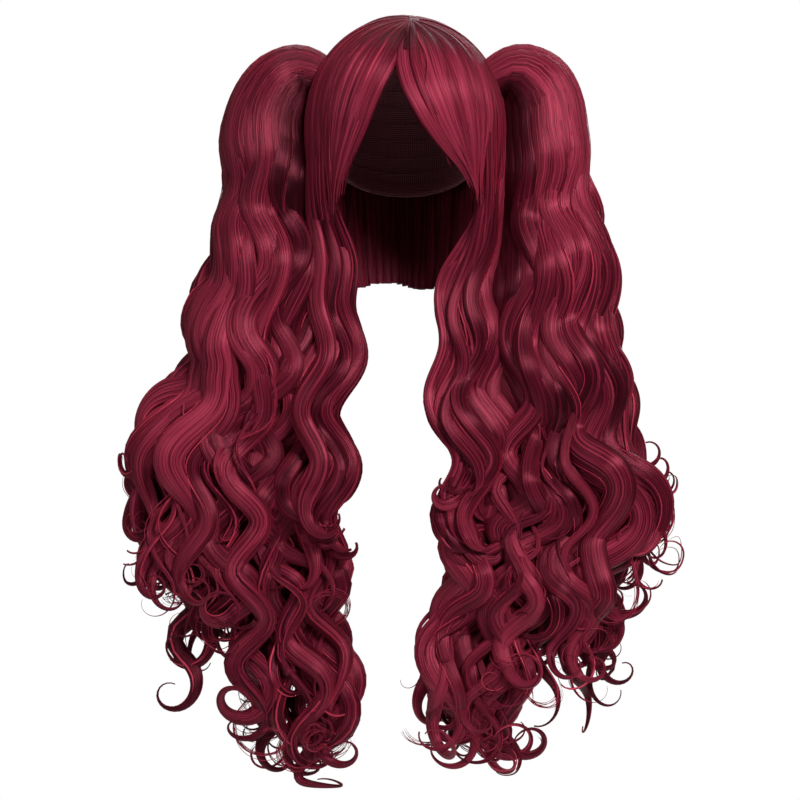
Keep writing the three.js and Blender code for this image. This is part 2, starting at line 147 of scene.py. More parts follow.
def net_yarn():
    """Warp-knitted nylon net: matt yarn in a grid of small holes, drawn 2 mm wide to show."""
    material, tree, shader = new_finish("warp-knitted nylon net")
    place = add_node(tree, "ShaderNodeTexCoord")
    waves = []
    for axis in ("X", "Z"):
        waves.append(add_node(
            tree, "ShaderNodeTexWave", {"bands_direction": axis},
            {"Vector": place.outputs["Object"], "Scale": NET_SCALE, "Distortion": 0.6, "Detail": 1.0}))
    yarn = add_node(tree, "ShaderNodeMath", {"operation": "MAXIMUM"},
                    {0: waves[0].outputs["Fac"], 1: waves[1].outputs["Fac"]})
    ramp = add_node(tree, "ShaderNodeValToRGB", {}, {"Fac": yarn.outputs[0]})
    ramp.color_ramp.elements[0].position = 0.45
    ramp.color_ramp.elements[0].color = linear("#5a2a34")
    ramp.color_ramp.elements[1].position = 0.85
    ramp.color_ramp.elements[1].color = linear("#a86472")
    bump = add_node(tree, "ShaderNodeBump", {}, {"Height": yarn.outputs[0], "Distance": 0.0004})
    tree.links.new(ramp.outputs["Color"], shader.inputs["Base Color"])
    tree.links.new(bump.outputs["Normal"], shader.inputs["Normal"])
    shader.inputs["Roughness"].default_value = 0.8
    shader.inputs["Sheen Weight"].default_value = 0.15
    return material


def shell_between(name, outer, inner, material):
    """A wall between two grids of points whose first row is the pole and whose columns close."""
    rows, columns = outer.shape[:2]
    points = np.concatenate([outer.reshape(-1, 3), inner.reshape(-1, 3)])
    offset = rows * columns
    faces = []
    for column in range(columns):
        after = (column + 1) % columns
        for row in range(rows - 1):
            a, b = row * columns + column, row * columns + after
            c, d = a + columns, b + columns
            faces.append((a, c, d, b))
            faces.append((offset + a, offset + b, offset + d, offset + c))
        last = (rows - 1) * columns
        faces.append((last + column, offset + last + column, offset + last + after, last + after))
    piece = mesh_piece(name, points, faces, material)
    merge_close(piece)
    return piece


def merge_close(piece):
    """Merge points that lie on each other and turn the faces outwards."""
    body = bmesh.new()
    body.from_mesh(piece.data)
    bmesh.ops.remove_doubles(body, verts=body.verts, dist=1e-5)
    bmesh.ops.recalc_face_normals(body, faces=body.faces)
    body.to_mesh(piece.data)
    body.free()


turns = np.linspace(0, 2 * math.pi, CAP_COLUMNS, endpoint=False)
downs = np.linspace(0, 1, CAP_ROWS)
tips = downs[:, None] * cap_edge_tip(turns)[None, :]
spread_turns = np.broadcast_to(turns, tips.shape)
cap_outer = head_point(spread_turns, tips, CAP_LAYER)
cap_inner = head_point(spread_turns, tips, NO_LAYER)
net = net_yarn()
wig_cap = shell_between("wig_cap_net", cap_outer, cap_inner, net)
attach(wig_cap, "root")
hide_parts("wig_cap")

# Wefts and edge band inside the cap: each weft is a row of hair stitched to a narrow tape, and
# rows of them run round the cap. The band is woven elastic, folded over the edge and sewn down.
WEFT_ROWS = 11
WEFT_TAPE = 0.0016
EDGE_BAND = 0.011
TAPE_PROUD = 0.0012
TAPE_SUNK = 0.0003
TAPE_CORNERS = 4
CROWN_TO_EDGE = 0.16
ELASTIC_SCALE = 210.0


def woven_elastic():
    """Woven elastic tape: dull, with fine ribs along it, drawn 1.5 mm apart."""
    material, tree, shader = new_finish("woven elastic tape")
    place = add_node(tree, "ShaderNodeTexCoord")
    ribs = add_node(tree, "ShaderNodeTexWave", {"bands_direction": "Z"},
                    {"Vector": place.outputs["Object"], "Scale": ELASTIC_SCALE, "Distortion": 1.5})
    ramp = add_node(tree, "ShaderNodeValToRGB", {}, {"Fac": ribs.outputs["Fac"]})
    ramp.color_ramp.elements[0].color = linear("#6b3440")
    ramp.color_ramp.elements[1].color = linear("#b06a78")
    bump = add_node(tree, "ShaderNodeBump", {}, {"Height": ribs.outputs["Fac"], "Distance": 0.0003})
    tree.links.new(ramp.outputs["Color"], shader.inputs["Base Color"])
    tree.links.new(bump.outputs["Normal"], shader.inputs["Normal"])
    shader.inputs["Roughness"].default_value = 0.7
    return material


def tape_ring(share, width):
    """Section points of a tape that runs round the inside of the cap at a share of its depth."""
    edge = cap_edge_tip(turns)
    half = width / 2 / CROWN_RISE
    rows = []
    for slide, lift in ((-1, 0), (-1, TAPE_PROUD), (1, TAPE_PROUD), (1, 0)):
        layer = NO_LAYER - lift + TAPE_SUNK
        rows.append(head_point(turns, edge * share + slide * half, layer))
    return np.stack(rows)


tape_points = []
tape_faces = []
columns = len(turns)
shares = [(i + 1.5) / (WEFT_ROWS + 2) for i in range(WEFT_ROWS)]
rings = [(share, WEFT_TAPE) for share in shares]
rings.append((1 - EDGE_BAND / 2 / CROWN_TO_EDGE, EDGE_BAND))
for share, width in rings:
    start = len(tape_points) * TAPE_CORNERS * columns
    ring = tape_ring(share, width)
    tape_points.append(ring.reshape(-1, 3))
    for side in range(TAPE_CORNERS):
        above = (side + 1) % TAPE_CORNERS
        for column in range(columns):
            after = (column + 1) % columns
            corner = start + side * columns
            other = start + above * columns
            tape_faces.append((corner + column, corner + after, other + after, other + column))
elastic = woven_elastic()
wefts = mesh_piece("cap_wefts", np.concatenate(tape_points), tape_faces, elastic, smooth=False)
merge_close(wefts)
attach(wefts, "root")

# Hair fibre: heat-resistant synthetic filament, dyed burgundy in the melt and combed into locks.
# It is swept from guide lines by one node tree, for the thick locks and the single strands alike.
LOCK_RIB_PACE = 9.0
STREAK_CONTRAST = 1.6
STRAND_ARC = 1.35
RANDOM_PHASE = 6.28

# Streaks of lighter and darker filament: how many lie in a metre across the hair and along it
STREAKS = ((1050.0, 14.0), (520.0, 9.0))


def dyed_fibre(name, deep, middle, bright):
    """Spun synthetic hair: silky sheen across the strands, fine streaks of lighter and darker
    filaments along them. Real ones are under 0.1 mm wide, and these are drawn 1 to 2 mm to show."""
    material, tree, shader = new_finish(name)
    combed = add_node(tree, "ShaderNodeUVMap", {"uv_map": "UVMap"})
    parts = add_node(tree, "ShaderNodeSeparateXYZ", {}, {0: combed.outputs["UV"]})
    number = add_node(tree, "ShaderNodeAttribute", {"attribute_name": "number"})
    tone = add_node(tree, "ShaderNodeAttribute", {"attribute_name": "tone"})
    streaks = []
    for across, along in STREAKS:
        wide = add_node(tree, "ShaderNodeMath", {"operation": "MULTIPLY"},
                        {0: parts.outputs["X"], 1: across})
        far = add_node(tree, "ShaderNodeMath", {"operation": "MULTIPLY"},
                       {0: parts.outputs["Y"], 1: along})
        apart = add_node(tree, "ShaderNodeMath", {"operation": "MULTIPLY"},
                         {0: number.outputs["Fac"], 1: 71.0})
        spot = add_node(tree, "ShaderNodeCombineXYZ", {},
                        {0: wide.outputs[0], 1: far.outputs[0], 2: apart.outputs[0]})
        streaks.append(add_node(tree, "ShaderNodeTexNoise", {},
                                {"Vector": spot.outputs[0], "Scale": 1.0, "Detail": 2.0}))
    both = add_node(tree, "ShaderNodeMath", {"operation": "ADD"},
                    {0: streaks[0].outputs["Fac"], 1: streaks[1].outputs["Fac"]})
    spread = add_node(tree, "ShaderNodeMath", {"operation": "MULTIPLY_ADD"},
                      {0: both.outputs[0], 1: STREAK_CONTRAST, 2: -STREAK_CONTRAST})
    shade = add_node(tree, "ShaderNodeMath", {"operation": "ADD"},
                     {0: spread.outputs[0], 1: tone.outputs["Fac"]})
    ramp = add_node(tree, "ShaderNodeValToRGB", {}, {"Fac": shade.outputs[0]})
    ramp.color_ramp.elements[0].position = 0.05
    ramp.color_ramp.elements[0].color = linear(deep)
    ramp.color_ramp.elements[1].position = 0.95
    ramp.color_ramp.elements[1].color = linear(bright)
    between = ramp.color_ramp.elements.new(0.5)
    between.color = linear(middle)
    bump = add_node(tree, "ShaderNodeBump", {},
                    {"Height": both.outputs[0], "Distance": 0.0005, "Strength": 1.0})
    tangent = add_node(tree, "ShaderNodeTangent", {"direction_type": "UV_MAP", "uv_map": "UVMap"})
    tree.links.new(ramp.outputs["Color"], shader.inputs["Base Color"])
    tree.links.new(bump.outputs["Normal"], shader.inputs["Normal"])
    tree.links.new(tangent.outputs["Tangent"], shader.inputs["Tangent"])
    shader.inputs["Roughness"].default_value = 0.36
    shader.inputs["IOR"].default_value = 1.5
    shader.inputs["Anisotropic"].default_value = 0.8
    shader.inputs["Specular IOR Level"].default_value = 0.56
    shader.inputs["Specular Tint"].default_value = linear("#ea6880")
    shader.inputs["Sheen Weight"].default_value = 0.6
    shader.inputs["Sheen Roughness"].default_value = 0.3
    shader.inputs["Sheen Tint"].default_value = linear("#d02c4a")
    return material


def locks_tree():
    """Node tree that sweeps an oval section along each guide line and combs ribs into it."""
    tree = bpy.data.node_groups.new("swept locks", "GeometryNodeTree")
    face = tree.interface
    face.new_socket("Geometry", in_out="INPUT", socket_type="NodeSocketGeometry")
    face.new_socket("Width", in_out="INPUT", socket_type="NodeSocketFloat")
    face.new_socket("Thickness", in_out="INPUT", socket_type="NodeSocketFloat")
    face.new_socket("Sides", in_out="INPUT", socket_type="NodeSocketInt")
    face.new_socket("Rib depth", in_out="INPUT", socket_type="NodeSocketFloat")
    face.new_socket("Ribs", in_out="INPUT", socket_type="NodeSocketFloat")
    face.new_socket("Seed", in_out="INPUT", socket_type="NodeSocketFloat")
    face.new_socket("Material", in_out="INPUT", socket_type="NodeSocketMaterial")
    face.new_socket("Geometry", in_out="OUTPUT", socket_type="NodeSocketGeometry")
    given = add_node(tree, "NodeGroupInput").outputs
    lines = add_node(tree, "GeometryNodeMeshToCurve", {}, {"Mesh": given["Geometry"]})
    facing = add_node(tree, "GeometryNodeInputNamedAttribute", {"data_type": "FLOAT_VECTOR"},
                      {"Name": "facing"})
    turned = add_node(tree, "GeometryNodeSetCurveNormal", {"mode": "FREE"},
                      {"Curve": lines.outputs[0], "Normal": facing.outputs["Attribute"]})
    circle = add_node(tree, "GeometryNodeCurvePrimitiveCircle", {"mode": "RADIUS"},
                      {"Resolution": given["Sides"], "Radius": 1.0})
    around = add_node(tree, "GeometryNodeInputPosition")
    marked = add_node(tree, "GeometryNodeStoreNamedAttribute",
                      {"data_type": "FLOAT_VECTOR", "domain": "POINT"},
                      {"Geometry": circle.outputs["Curve"], "Name": "section",
                       "Value": around.outputs[0]})
    halves = add_node(tree, "ShaderNodeCombineXYZ", {},
                      {0: given["Thickness"], 1: given["Width"], 2: 0.0})
    oval = add_node(tree, "ShaderNodeVectorMath", {"operation": "MULTIPLY"},
                    {0: around.outputs[0], 1: halves.outputs[0]})
    halved = add_node(tree, "ShaderNodeVectorMath", {"operation": "SCALE"},
                      {0: oval.outputs[0], "Scale": 0.5})
    section = add_node(tree, "GeometryNodeSetPosition", {},
                       {"Geometry": marked.outputs[0], "Position": halved.outputs[0]})
    girth = add_node(tree, "GeometryNodeInputNamedAttribute", {"data_type": "FLOAT"},
                     {"Name": "girth"})
    swept = add_node(tree, "GeometryNodeCurveToMesh", {},
                     {"Curve": turned.outputs[0], "Profile Curve": section.outputs[0],
                      "Scale": girth.outputs["Attribute"], "Fill Caps": True})
    spot = add_node(tree, "GeometryNodeInputNamedAttribute", {"data_type": "FLOAT_VECTOR"},
                    {"Name": "section"})
    run = add_node(tree, "GeometryNodeInputNamedAttribute", {"data_type": "FLOAT"}, {"Name": "run"})
    number = add_node(tree, "GeometryNodeInputNamedAttribute", {"data_type": "FLOAT"},
                      {"Name": "number"})
    place = add_node(tree, "ShaderNodeSeparateXYZ", {}, {0: spot.outputs["Attribute"]})
    far = add_node(tree, "ShaderNodeMath", {"operation": "MULTIPLY"},
                   {0: run.outputs["Attribute"], 1: LOCK_RIB_PACE})
    columns_of = [add_node(tree, "ShaderNodeMath", {"operation": "MULTIPLY"},
                           {0: place.outputs[axis], 1: given["Ribs"]}) for axis in (0, 1)]
    field = add_node(tree, "ShaderNodeCombineXYZ", {},
                     {0: columns_of[0].outputs[0], 1: columns_of[1].outputs[0], 2: far.outputs[0]})
    apart = add_node(tree, "ShaderNodeMath", {"operation": "MULTIPLY_ADD"},
                     {0: number.outputs["Attribute"], 1: 57.0, 2: given["Seed"]})
    ribs = add_node(tree, "ShaderNodeTexNoise", {"noise_dimensions": "4D"},
                    {"Vector": field.outputs[0], "W": apart.outputs[0], "Scale": 1.0,
                     "Detail": 1.0})
    height = add_node(tree, "ShaderNodeMath", {"operation": "MULTIPLY_ADD"},
                      {0: ribs.outputs["Fac"], 1: 2.0, 2: -1.0})
    depth = add_node(tree, "ShaderNodeMath", {"operation": "MULTIPLY"},
                     {0: height.outputs[0], 1: given["Rib depth"]})
    grown = add_node(tree, "ShaderNodeMath", {"operation": "MULTIPLY"},
                     {0: depth.outputs[0], 1: girth.outputs["Attribute"]})
    outward = add_node(tree, "GeometryNodeInputNormal")
    push = add_node(tree, "ShaderNodeVectorMath", {"operation": "SCALE"},
                    {0: outward.outputs[0], "Scale": grown.outputs[0]})
    ribbed = add_node(tree, "GeometryNodeSetPosition", {},
                      {"Geometry": swept.outputs[0], "Offset": push.outputs[0]})
    breadth = add_node(tree, "ShaderNodeMath", {"operation": "MULTIPLY"},
                       {0: place.outputs[1], 1: given["Width"]})
    combed = add_node(tree, "ShaderNodeCombineXYZ", {},
                      {0: breadth.outputs[0], 1: run.outputs["Attribute"], 2: 0.0})
    mapped = add_node(tree, "GeometryNodeStoreNamedAttribute",
                      {"data_type": "FLOAT2", "domain": "CORNER"},
                      {"Geometry": ribbed.outputs[0], "Name": "UVMap", "Value": combed.outputs[0]})
    finished = add_node(tree, "GeometryNodeSetMaterial", {},
                        {"Geometry": mapped.outputs[0], "Material": given["Material"]})
    real = add_node(tree, "GeometryNodeRealizeInstances", {}, {"Geometry": finished.outputs[0]})
    add_node(tree, "NodeGroupOutput", {}, {"Geometry": real.outputs[0]})
    return tree


SWEPT_LOCKS = locks_tree()


def guide(points, facing, girth, tone, number):
    """A guide line: its points, where its flat side looks, its girth, tone and lock number."""
    along = unit(np.gradient(points, axis=0))
    facing = unit(facing - along * (facing * along).sum(1)[:, None])
    steps = np.linalg.norm(np.diff(points, axis=0), axis=1)
    count = len(points)
    return {
        "points": points, "facing": facing, "girth": girth + np.zeros(count),
        "tone": tone + np.zeros(count), "number": number + np.zeros(count),
        "run": np.concatenate([[0], np.cumsum(steps)]),
    }


def stretch_of(line, first, last):
    """The points of a guide line from first up to last."""
    return {key: values[first:last] for key, values in line.items()}


def hair_piece(name, lines, material, width, thickness, sides, rib_depth=0.0, ribs=3.0, seed=0.0):
    """One mesh with a lock or a strand along each guide line."""
    mesh = bpy.data.meshes.new(name + "_guides")
    edges = []
    start = 0
    for line in lines:
        count = len(line["points"])
        edges += [(start + i, start + i + 1) for i in range(count - 1)]
        start += count
    joined = {key: np.concatenate([line[key] for line in lines]) for key in lines[0]}
    mesh.from_pydata([tuple(p) for p in joined["points"]], edges, [])
    facing = mesh.attributes.new("facing", "FLOAT_VECTOR", "POINT")
    facing.data.foreach_set("vector", joined["facing"].astype(np.float32).ravel())
    for key in ("girth", "tone", "number", "run"):
        values = mesh.attributes.new(key, "FLOAT", "POINT")
        values.data.foreach_set("value", joined[key].astype(np.float32))
    piece = bpy.data.objects.new(name, mesh)
    bpy.context.scene.collection.objects.link(piece)
    modifier = piece.modifiers.new("locks", "NODES")
    modifier.node_group = SWEPT_LOCKS
    values = {"Width": width, "Thickness": thickness, "Sides": sides, "Rib depth": rib_depth,
              "Ribs": ribs, "Seed": seed, "Material": material}
    for socket in SWEPT_LOCKS.interface.items_tree:
        if socket.in_out == "INPUT" and socket.name in values:
            modifier[socket.identifier] = values[socket.name]
    swept = piece.evaluated_get(bpy.context.evaluated_depsgraph_get())
    made = bpy.data.meshes.new_from_object(swept)
    made.name = name
    piece.modifiers.remove(modifier)
    piece.data = made
    return piece


def strands_over(lines, count, rng, steps, width, thickness, lift, stray, tone, widest):
    """Guide lines of strands that lie on locks and stray at their tips. The widest stand for a
    thin band of filaments, and tone is how far one may be lighter or darker."""
    strands = []
    for _ in range(count):
        line = lines[rng.integers(len(lines))]
        last = len(line["points"]) - 1
        begin = rng.uniform(0.0, 0.7) * last
        end = min(begin + rng.uniform(0.25, 0.5) * last, last)
        at = np.linspace(begin, end, steps)
        low = np.minimum(at.astype(int), last - 1)
        part = (at - low)[:, None]
        points = mix(line["points"][low], line["points"][low + 1], part)
        facing = unit(mix(line["facing"][low], line["facing"][low + 1], part))
        girth = mix(line["girth"][low], line["girth"][low + 1], part[:, 0])
        along = unit(np.gradient(points, axis=0))
        across = np.cross(facing, along)
        angle = rng.uniform(-STRAND_ARC, STRAND_ARC)
        share = np.linspace(0, 1, steps)
        loose = stray * share ** 2 * rng.exponential(1.0)
        sway = np.sin(share * rng.uniform(3, 7) + rng.uniform(0, RANDOM_PHASE))
        side = math.sin(angle) * width / 2 * girth + loose * sway
        rise = math.cos(angle) * thickness / 2 * girth + lift + loose * 0.7
        points = points + across * side[:, None] + facing * rise[:, None]
        upright = across * (math.sin(angle) / width) + facing * (math.cos(angle) / thickness)
        grown = np.minimum(1, 0.1 + 5 * share * (1 - share)) * rng.uniform(1.0, widest)
        shade = 0.5 + rng.uniform(-tone, tone)
        strands.append(guide(points, unit(upright), grown, shade, rng.random()))
    return strands


fibre = dyed_fibre("dyed synthetic hair fibre", "#22060c", "#581121", "#942e44")
# Painted light: the loose fibre is a lighter copy of the same fibre, for strands that stand in the
# light
lit_loose_fibre = dyed_fibre("loose synthetic hair fibre", "#32091a", "#761a2f", "#b43a50")

# Crown, fringe, temple and back hair: filament combed out from a whorl on top of the cap. Each
# lock is sewn in near the whorl and runs on past the parting level into the piece below it.
HAIR_LAYER = np.array([0.020, 0.014, 0.010])
WHORL = np.array([0.006, -0.036])
PATCH_HALF = np.array([0.0045, 0.013])
PART_DROP = 0.033
FRINGE_DROP = {"left": 0.172, "right": 0.160}
SIDE_DROP = 0.182
BACK_DROP = 0.246
TEMPLE_TURN = math.radians(53)
BACK_TURN = math.radians(112)
NAPE_TAPER = 0.16
CROWN_STEPS = 15
# Painted shade: how much darker the crown of each lock is painted near the whorl
CROWN_SHADE = 0.46
COMBED_STEPS = 34
HEAD_LOCK_WIDTH = 0.013
HEAD_LOCK_THICKNESS = 0.0052
HEAD_RIB_DEPTH = 0.0008

# How far locks stray from their even places, and how much deeper the tips of the fringe lie
EVENED_ROWS = 11
WANDER = 0.0008
BACK_HEM_WAVE = 0.003
BACK_HEM_STRAY = 0.0012
FRINGE_TIP_SUNK = 0.002
FRINGE_SIDE_SUNK = 0.006
FILLER_DEPTH = 0.0016

# Tone of the fringe, whose right half is painted lighter as painted light where it takes more light,
# and which way each side lies along X
FRINGE_TONES = {"left": 0.64, "right": 0.74}
SIGNS = {"left": -1, "right": 1}

# Depths below the surface of the hair between which the outer and the lower locks lie
SURFACE = (0.0022, 0.0042)
UNDER = (0.0062, 0.0085)

# How many locks lie in each part: outer ones, lower ones and, where there are any, fillers
FRINGE_LOCKS = (26, 9)
SIDE_LOCKS = (18, 11)
BACK_LOCKS = (40, 30, 44)
CROWN_FILLERS = 26

# Inner edges of the fringe: share of its drop below the parting, share of half the head's width
FRINGE_EDGES = {
    "left": ((0.0, -0.07), (0.17, -0.26), (0.38, -0.39), (0.6, -0.54), (0.8, -0.71), (1.0, -0.78)),
    "right": ((0.0, -0.06), (0.19, -0.05), (0.42, 0.08), (0.64, 0.3), (0.82, 0.53), (1.0, 0.81)),
}


def turn_at(aside, drop):
    """Turn at which the hair layer reaches a sideways place on the front of the head."""
    shrink = np.sin(tip_at(np.minimum(drop, CROWN_RISE), HAIR_LAYER))
    share = np.clip(aside / (HEAD_WIDTH / 2 + HAIR_LAYER[0]) / shrink, -1, 1)
    ahead = (HEAD_DEPTH / 2 + HAIR_LAYER[1]) * shrink * np.sqrt(1 - share * share)
    return np.arctan2(aside, ahead)


def evened(rows, count):
    """Rows of points, each replaced by the mean of the rows about it."""
    padded = np.pad(rows, ((count // 2, count // 2), (0, 0)), mode="edge")
    window = np.ones(count) / count
    return np.stack([np.convolve(column, window, "valid") for column in padded.T], 1)


def combed_line(turns_down, drops, below, tone, number, girth=1.0, root_share=1.0,
                taper=(0.9, 0.6)):
    """Guide line from the whorl over the crown and down the head, below the hair's surface."""
    reach = np.array([HEAD_WIDTH / 2, HEAD_DEPTH / 2]) + HAIR_LAYER[:2]
    on_head = np.minimum(drops, CROWN_RISE)
    tips_down = tip_at(on_head, HAIR_LAYER)
    lower = head_point(turns_down, tips_down, HAIR_LAYER)[:, :2] / reach
    way = np.array([math.sin(turns_down[0]), -math.cos(turns_down[0])])
    root = WHORL + PATCH_HALF * root_share * way
    shares_up = np.linspace(0, 1, CROWN_STEPS, endpoint=False)[:, None] ** 0.9
    upper = mix(root / reach, lower[0], shares_up)
    plan = np.concatenate([upper, lower])
    radius = np.minimum(np.linalg.norm(plan, axis=1), 1)
    plan = mix(plan, evened(plan, EVENED_ROWS), smoothstep(np.arange(len(plan)), 0, 6)[:, None])
    plan = unit(plan) * radius[:, None]
    inner = reach - below[:, None]
    height = (CROWN_RISE + HAIR_LAYER[2] - below) * np.sqrt(1 - radius ** 2) - CROWN_RISE
    height[CROWN_STEPS:] = np.where(drops >= CROWN_RISE, -drops, height[CROWN_STEPS:])
    points = np.concatenate([plan * inner, height[:, None]], 1)
    deep = np.concatenate([np.zeros(CROWN_STEPS), np.maximum(drops - CROWN_RISE, 0)])
    sunk = (deep / (BACK_DROP - CROWN_RISE)) ** 2 * smoothstep(points[:, 1], 0.0, 0.11)
    points[:, :2] *= (1 - NAPE_TAPER * sunk)[:, None]
    slope = points[:, :2] / inner ** 2
    rise = np.maximum(points[:, 2] + CROWN_RISE, 0) / (CROWN_RISE + HAIR_LAYER[2]) ** 2
    facing = np.concatenate([slope, rise[:, None]], 1)
    count = len(points)
    root_girth = mix(0.34, 1.0, smoothstep(np.arange(count), 0, CROWN_STEPS + 4))
    tip_girth = mix(1.0, taper[1], smoothstep(np.arange(count) / (count - 1), taper[0], 1.0))
    # Painted shade: the crown near the whorl is painted darker
    tones = tone - CROWN_SHADE * (1 - smoothstep(np.arange(count), 8, CROWN_STEPS + 6))
    return guide(points, facing, root_girth * tip_girth * girth, tones, number)


def drops_to(end):
    """Drops from the parting level to an end, closer together on the curve of the head."""
    upper = tip_at(PART_DROP, HAIR_LAYER)
    on_head = np.linspace(upper, math.pi / 2, COMBED_STEPS // 2, endpoint=False)
    curved = CROWN_RISE - (CROWN_RISE + HAIR_LAYER[2]) * np.cos(on_head)
    curved = curved[curved < CROWN_RISE]
    return np.concatenate([curved, np.linspace(CROWN_RISE, end, COMBED_STEPS - len(curved))])


def depth_of(rng, low, high, count):
    """Depth under the surface along a lock, which wanders a little."""
    wander = WANDER * np.sin(np.linspace(0, rng.uniform(2, 6), count) + rng.uniform(0, RANDOM_PHASE))
    return np.full(count, rng.uniform(low, high)) + wander


def fringe_lines(side, rng, count, low, high, tone):
    """Guide lines of one half of the fringe, from its inner edge to the temple."""
    sign = SIGNS[side]
    edge_down, edge_aside = np.array(FRINGE_EDGES[side]).T
    lines = []
    for i in range(count):
        outward = (i + 0.35 * rng.uniform(-1, 1)) / (count - 1)
        outward = np.clip(outward, 0, 1) ** 0.9
        end = FRINGE_DROP[side] * mix(rng.uniform(0.93, 1.02), rng.uniform(1.02, 1.14), outward)
        drops = drops_to(end)
        fallen = (drops - PART_DROP) / (FRINGE_DROP[side] - PART_DROP)
        aside = np.interp(fallen, edge_down, edge_aside) * HEAD_WIDTH / 2
        inside = turn_at(aside, drops) + sign * np.radians(0.8 + 2.2 * smoothstep(fallen, 0.1, 0.6))
        turn = mix(inside, sign * TEMPLE_TURN, outward)
        below = depth_of(rng, low, high, CROWN_STEPS + len(drops))
        sinking = FRINGE_TIP_SUNK * smoothstep(fallen, 0.3, 1.0)
        sinking += (FRINGE_SIDE_SUNK * smoothstep(fallen, 0.6, 1.0)
                    * smoothstep(outward, 0.25, 0.6))
        below += np.concatenate([np.zeros(CROWN_STEPS), sinking])
        lines.append(combed_line(turn, drops, below, tone + rng.uniform(-0.1, 0.1), rng.random(),
                                 taper=(0.62, 0.1)))
    return lines


rng = np.random.default_rng(11)
fringe = {}
for side in ("left", "right"):
    fringe[side] = fringe_lines(side, rng, FRINGE_LOCKS[0], *SURFACE, FRINGE_TONES[side])
    # The lower locks are painted darker than the outer ones, as painted shade.
    fringe[side] += fringe_lines(side, rng, FRINGE_LOCKS[1], *UNDER, 0.3)


def back_lines(rng, count, low, high, tone, girth=1.0):
    """Guide lines that fall plumb down the back of the head, to a nearly even hem."""
    strayed = rng.uniform(-0.02, 0.02, count)
    turns_over = np.linspace(BACK_TURN, 2 * math.pi - BACK_TURN, count) + strayed
    uneven = rng.uniform(-BACK_HEM_STRAY, BACK_HEM_STRAY, count)
    ends = BACK_DROP + BACK_HEM_WAVE * np.sin(turns_over * 7) + uneven
    lines = []
    for turn, end in zip(turns_over, ends):
        drops = drops_to(end)
        below = depth_of(rng, low, high, CROWN_STEPS + len(drops))
        lines.append(combed_line(np.full(len(drops), turn), drops, below,
                                 tone + rng.uniform(-0.12, 0.12), rng.random(), girth,
                                 taper=(0.92, 0.7)))
    return lines


back = back_lines(rng, BACK_LOCKS[0], *SURFACE, 0.5)
# The lower locks and the thin fillers are painted darker than the outer ones, as painted shade.
back += back_lines(rng, BACK_LOCKS[1], *UNDER, 0.34)
back += back_lines(rng, BACK_LOCKS[2], 0.003, 0.010, 0.4, 0.5)

# Routes of the side locks below the temples: share of their drop, then of half the head's width
# and depth. They hang in loose waves in front of the shoulders.
SIDE_LOCK_DROP = 0.470
SIDE_ROUTES = {
    "left": (
        ((0.28, 1.0, 0.3), (0.42, 0.9, 0.28), (0.55, 0.84, 0.34), (0.68, 0.84, 0.46),
         (0.8, 0.98, 0.58), (0.9, 0.92, 0.62), (1.0, 0.98, 0.56)),
        ((0.28, 1.12, 0.2), (0.44, 1.14, 0.14), (0.6, 1.12, 0.26), (0.74, 1.2, 0.4),
         (0.86, 1.14, 0.36), (0.94, 1.2, 0.42)),
    ),
    "right": (
        ((0.28, 0.98, 0.3), (0.42, 0.84, 0.28), (0.54, 0.68, 0.34), (0.68, 0.6, 0.46),
         (0.8, 0.6, 0.6), (0.9, 0.76, 0.6), (1.0, 0.66, 0.56)),
        ((0.28, 1.1, 0.2), (0.44, 1.06, 0.14), (0.6, 1.0, 0.26), (0.74, 1.0, 0.4),
         (0.86, 1.12, 0.36), (0.94, 1.0, 0.42)),
    ),
}
SIDE_STEPS = 50
END_STEPS = 30
SIDE_WAVE = 0.0085
SIDE_PITCH = 0.105
SIDE_LANE = 0.016
SIDE_LANE_DEPTH = 0.010
SIDE_TAPER_STEPS = 36
SIDE_CURL = (0.016, 0.024)
ROUTE_ROWS = 200


def through(rows, shares_along):
    """Smooth curve through the rows of a table, at shares from 0 to 1 of the way through it."""
    rows = np.asarray(rows, float)
    last = len(rows) - 1
    at = np.clip(shares_along, 0, 1) * last
    low = np.minimum(at.astype(int), last - 1)
    part = (at - low)[:, None]
    padded = np.vstack([2 * rows[0] - rows[1], rows, 2 * rows[-1] - rows[-2]])
    a, b, c, d = (padded[low + k] for k in range(4))
    bend = (2 * a - 5 * b + 4 * c - d) * part ** 2
    twist = (3 * b - a - 3 * c + d) * part ** 3
    return 0.5 * (2 * b + (c - a) * part + bend + twist)


def wound_end(points, facing, hand, radius, turns, drift):
    """The path with its end wound up flat, on from the last point, ever tighter."""
    along = unit(points[-1] - points[-2])
    across = hand * unit(np.cross(facing[-1], along))
    length = turns * 2 * math.pi * radius * 0.8
    run = np.linspace(0, length, END_STEPS + 1)[1:]
    share = run / length
    bend = smoothstep(share, -0.1, 0.2) / (radius * mix(1.0, 0.6, share))
    angle = np.cumsum(bend) * length / END_STEPS
    heading = along * np.cos(angle)[:, None] + across * np.sin(angle)[:, None]
    end = points[-1] + np.cumsum(heading, axis=0) * length / END_STEPS + drift * run[:, None]
    held = np.tile(facing[-1], (END_STEPS, 1))
    return np.concatenate([points, end]), np.concatenate([facing, held])


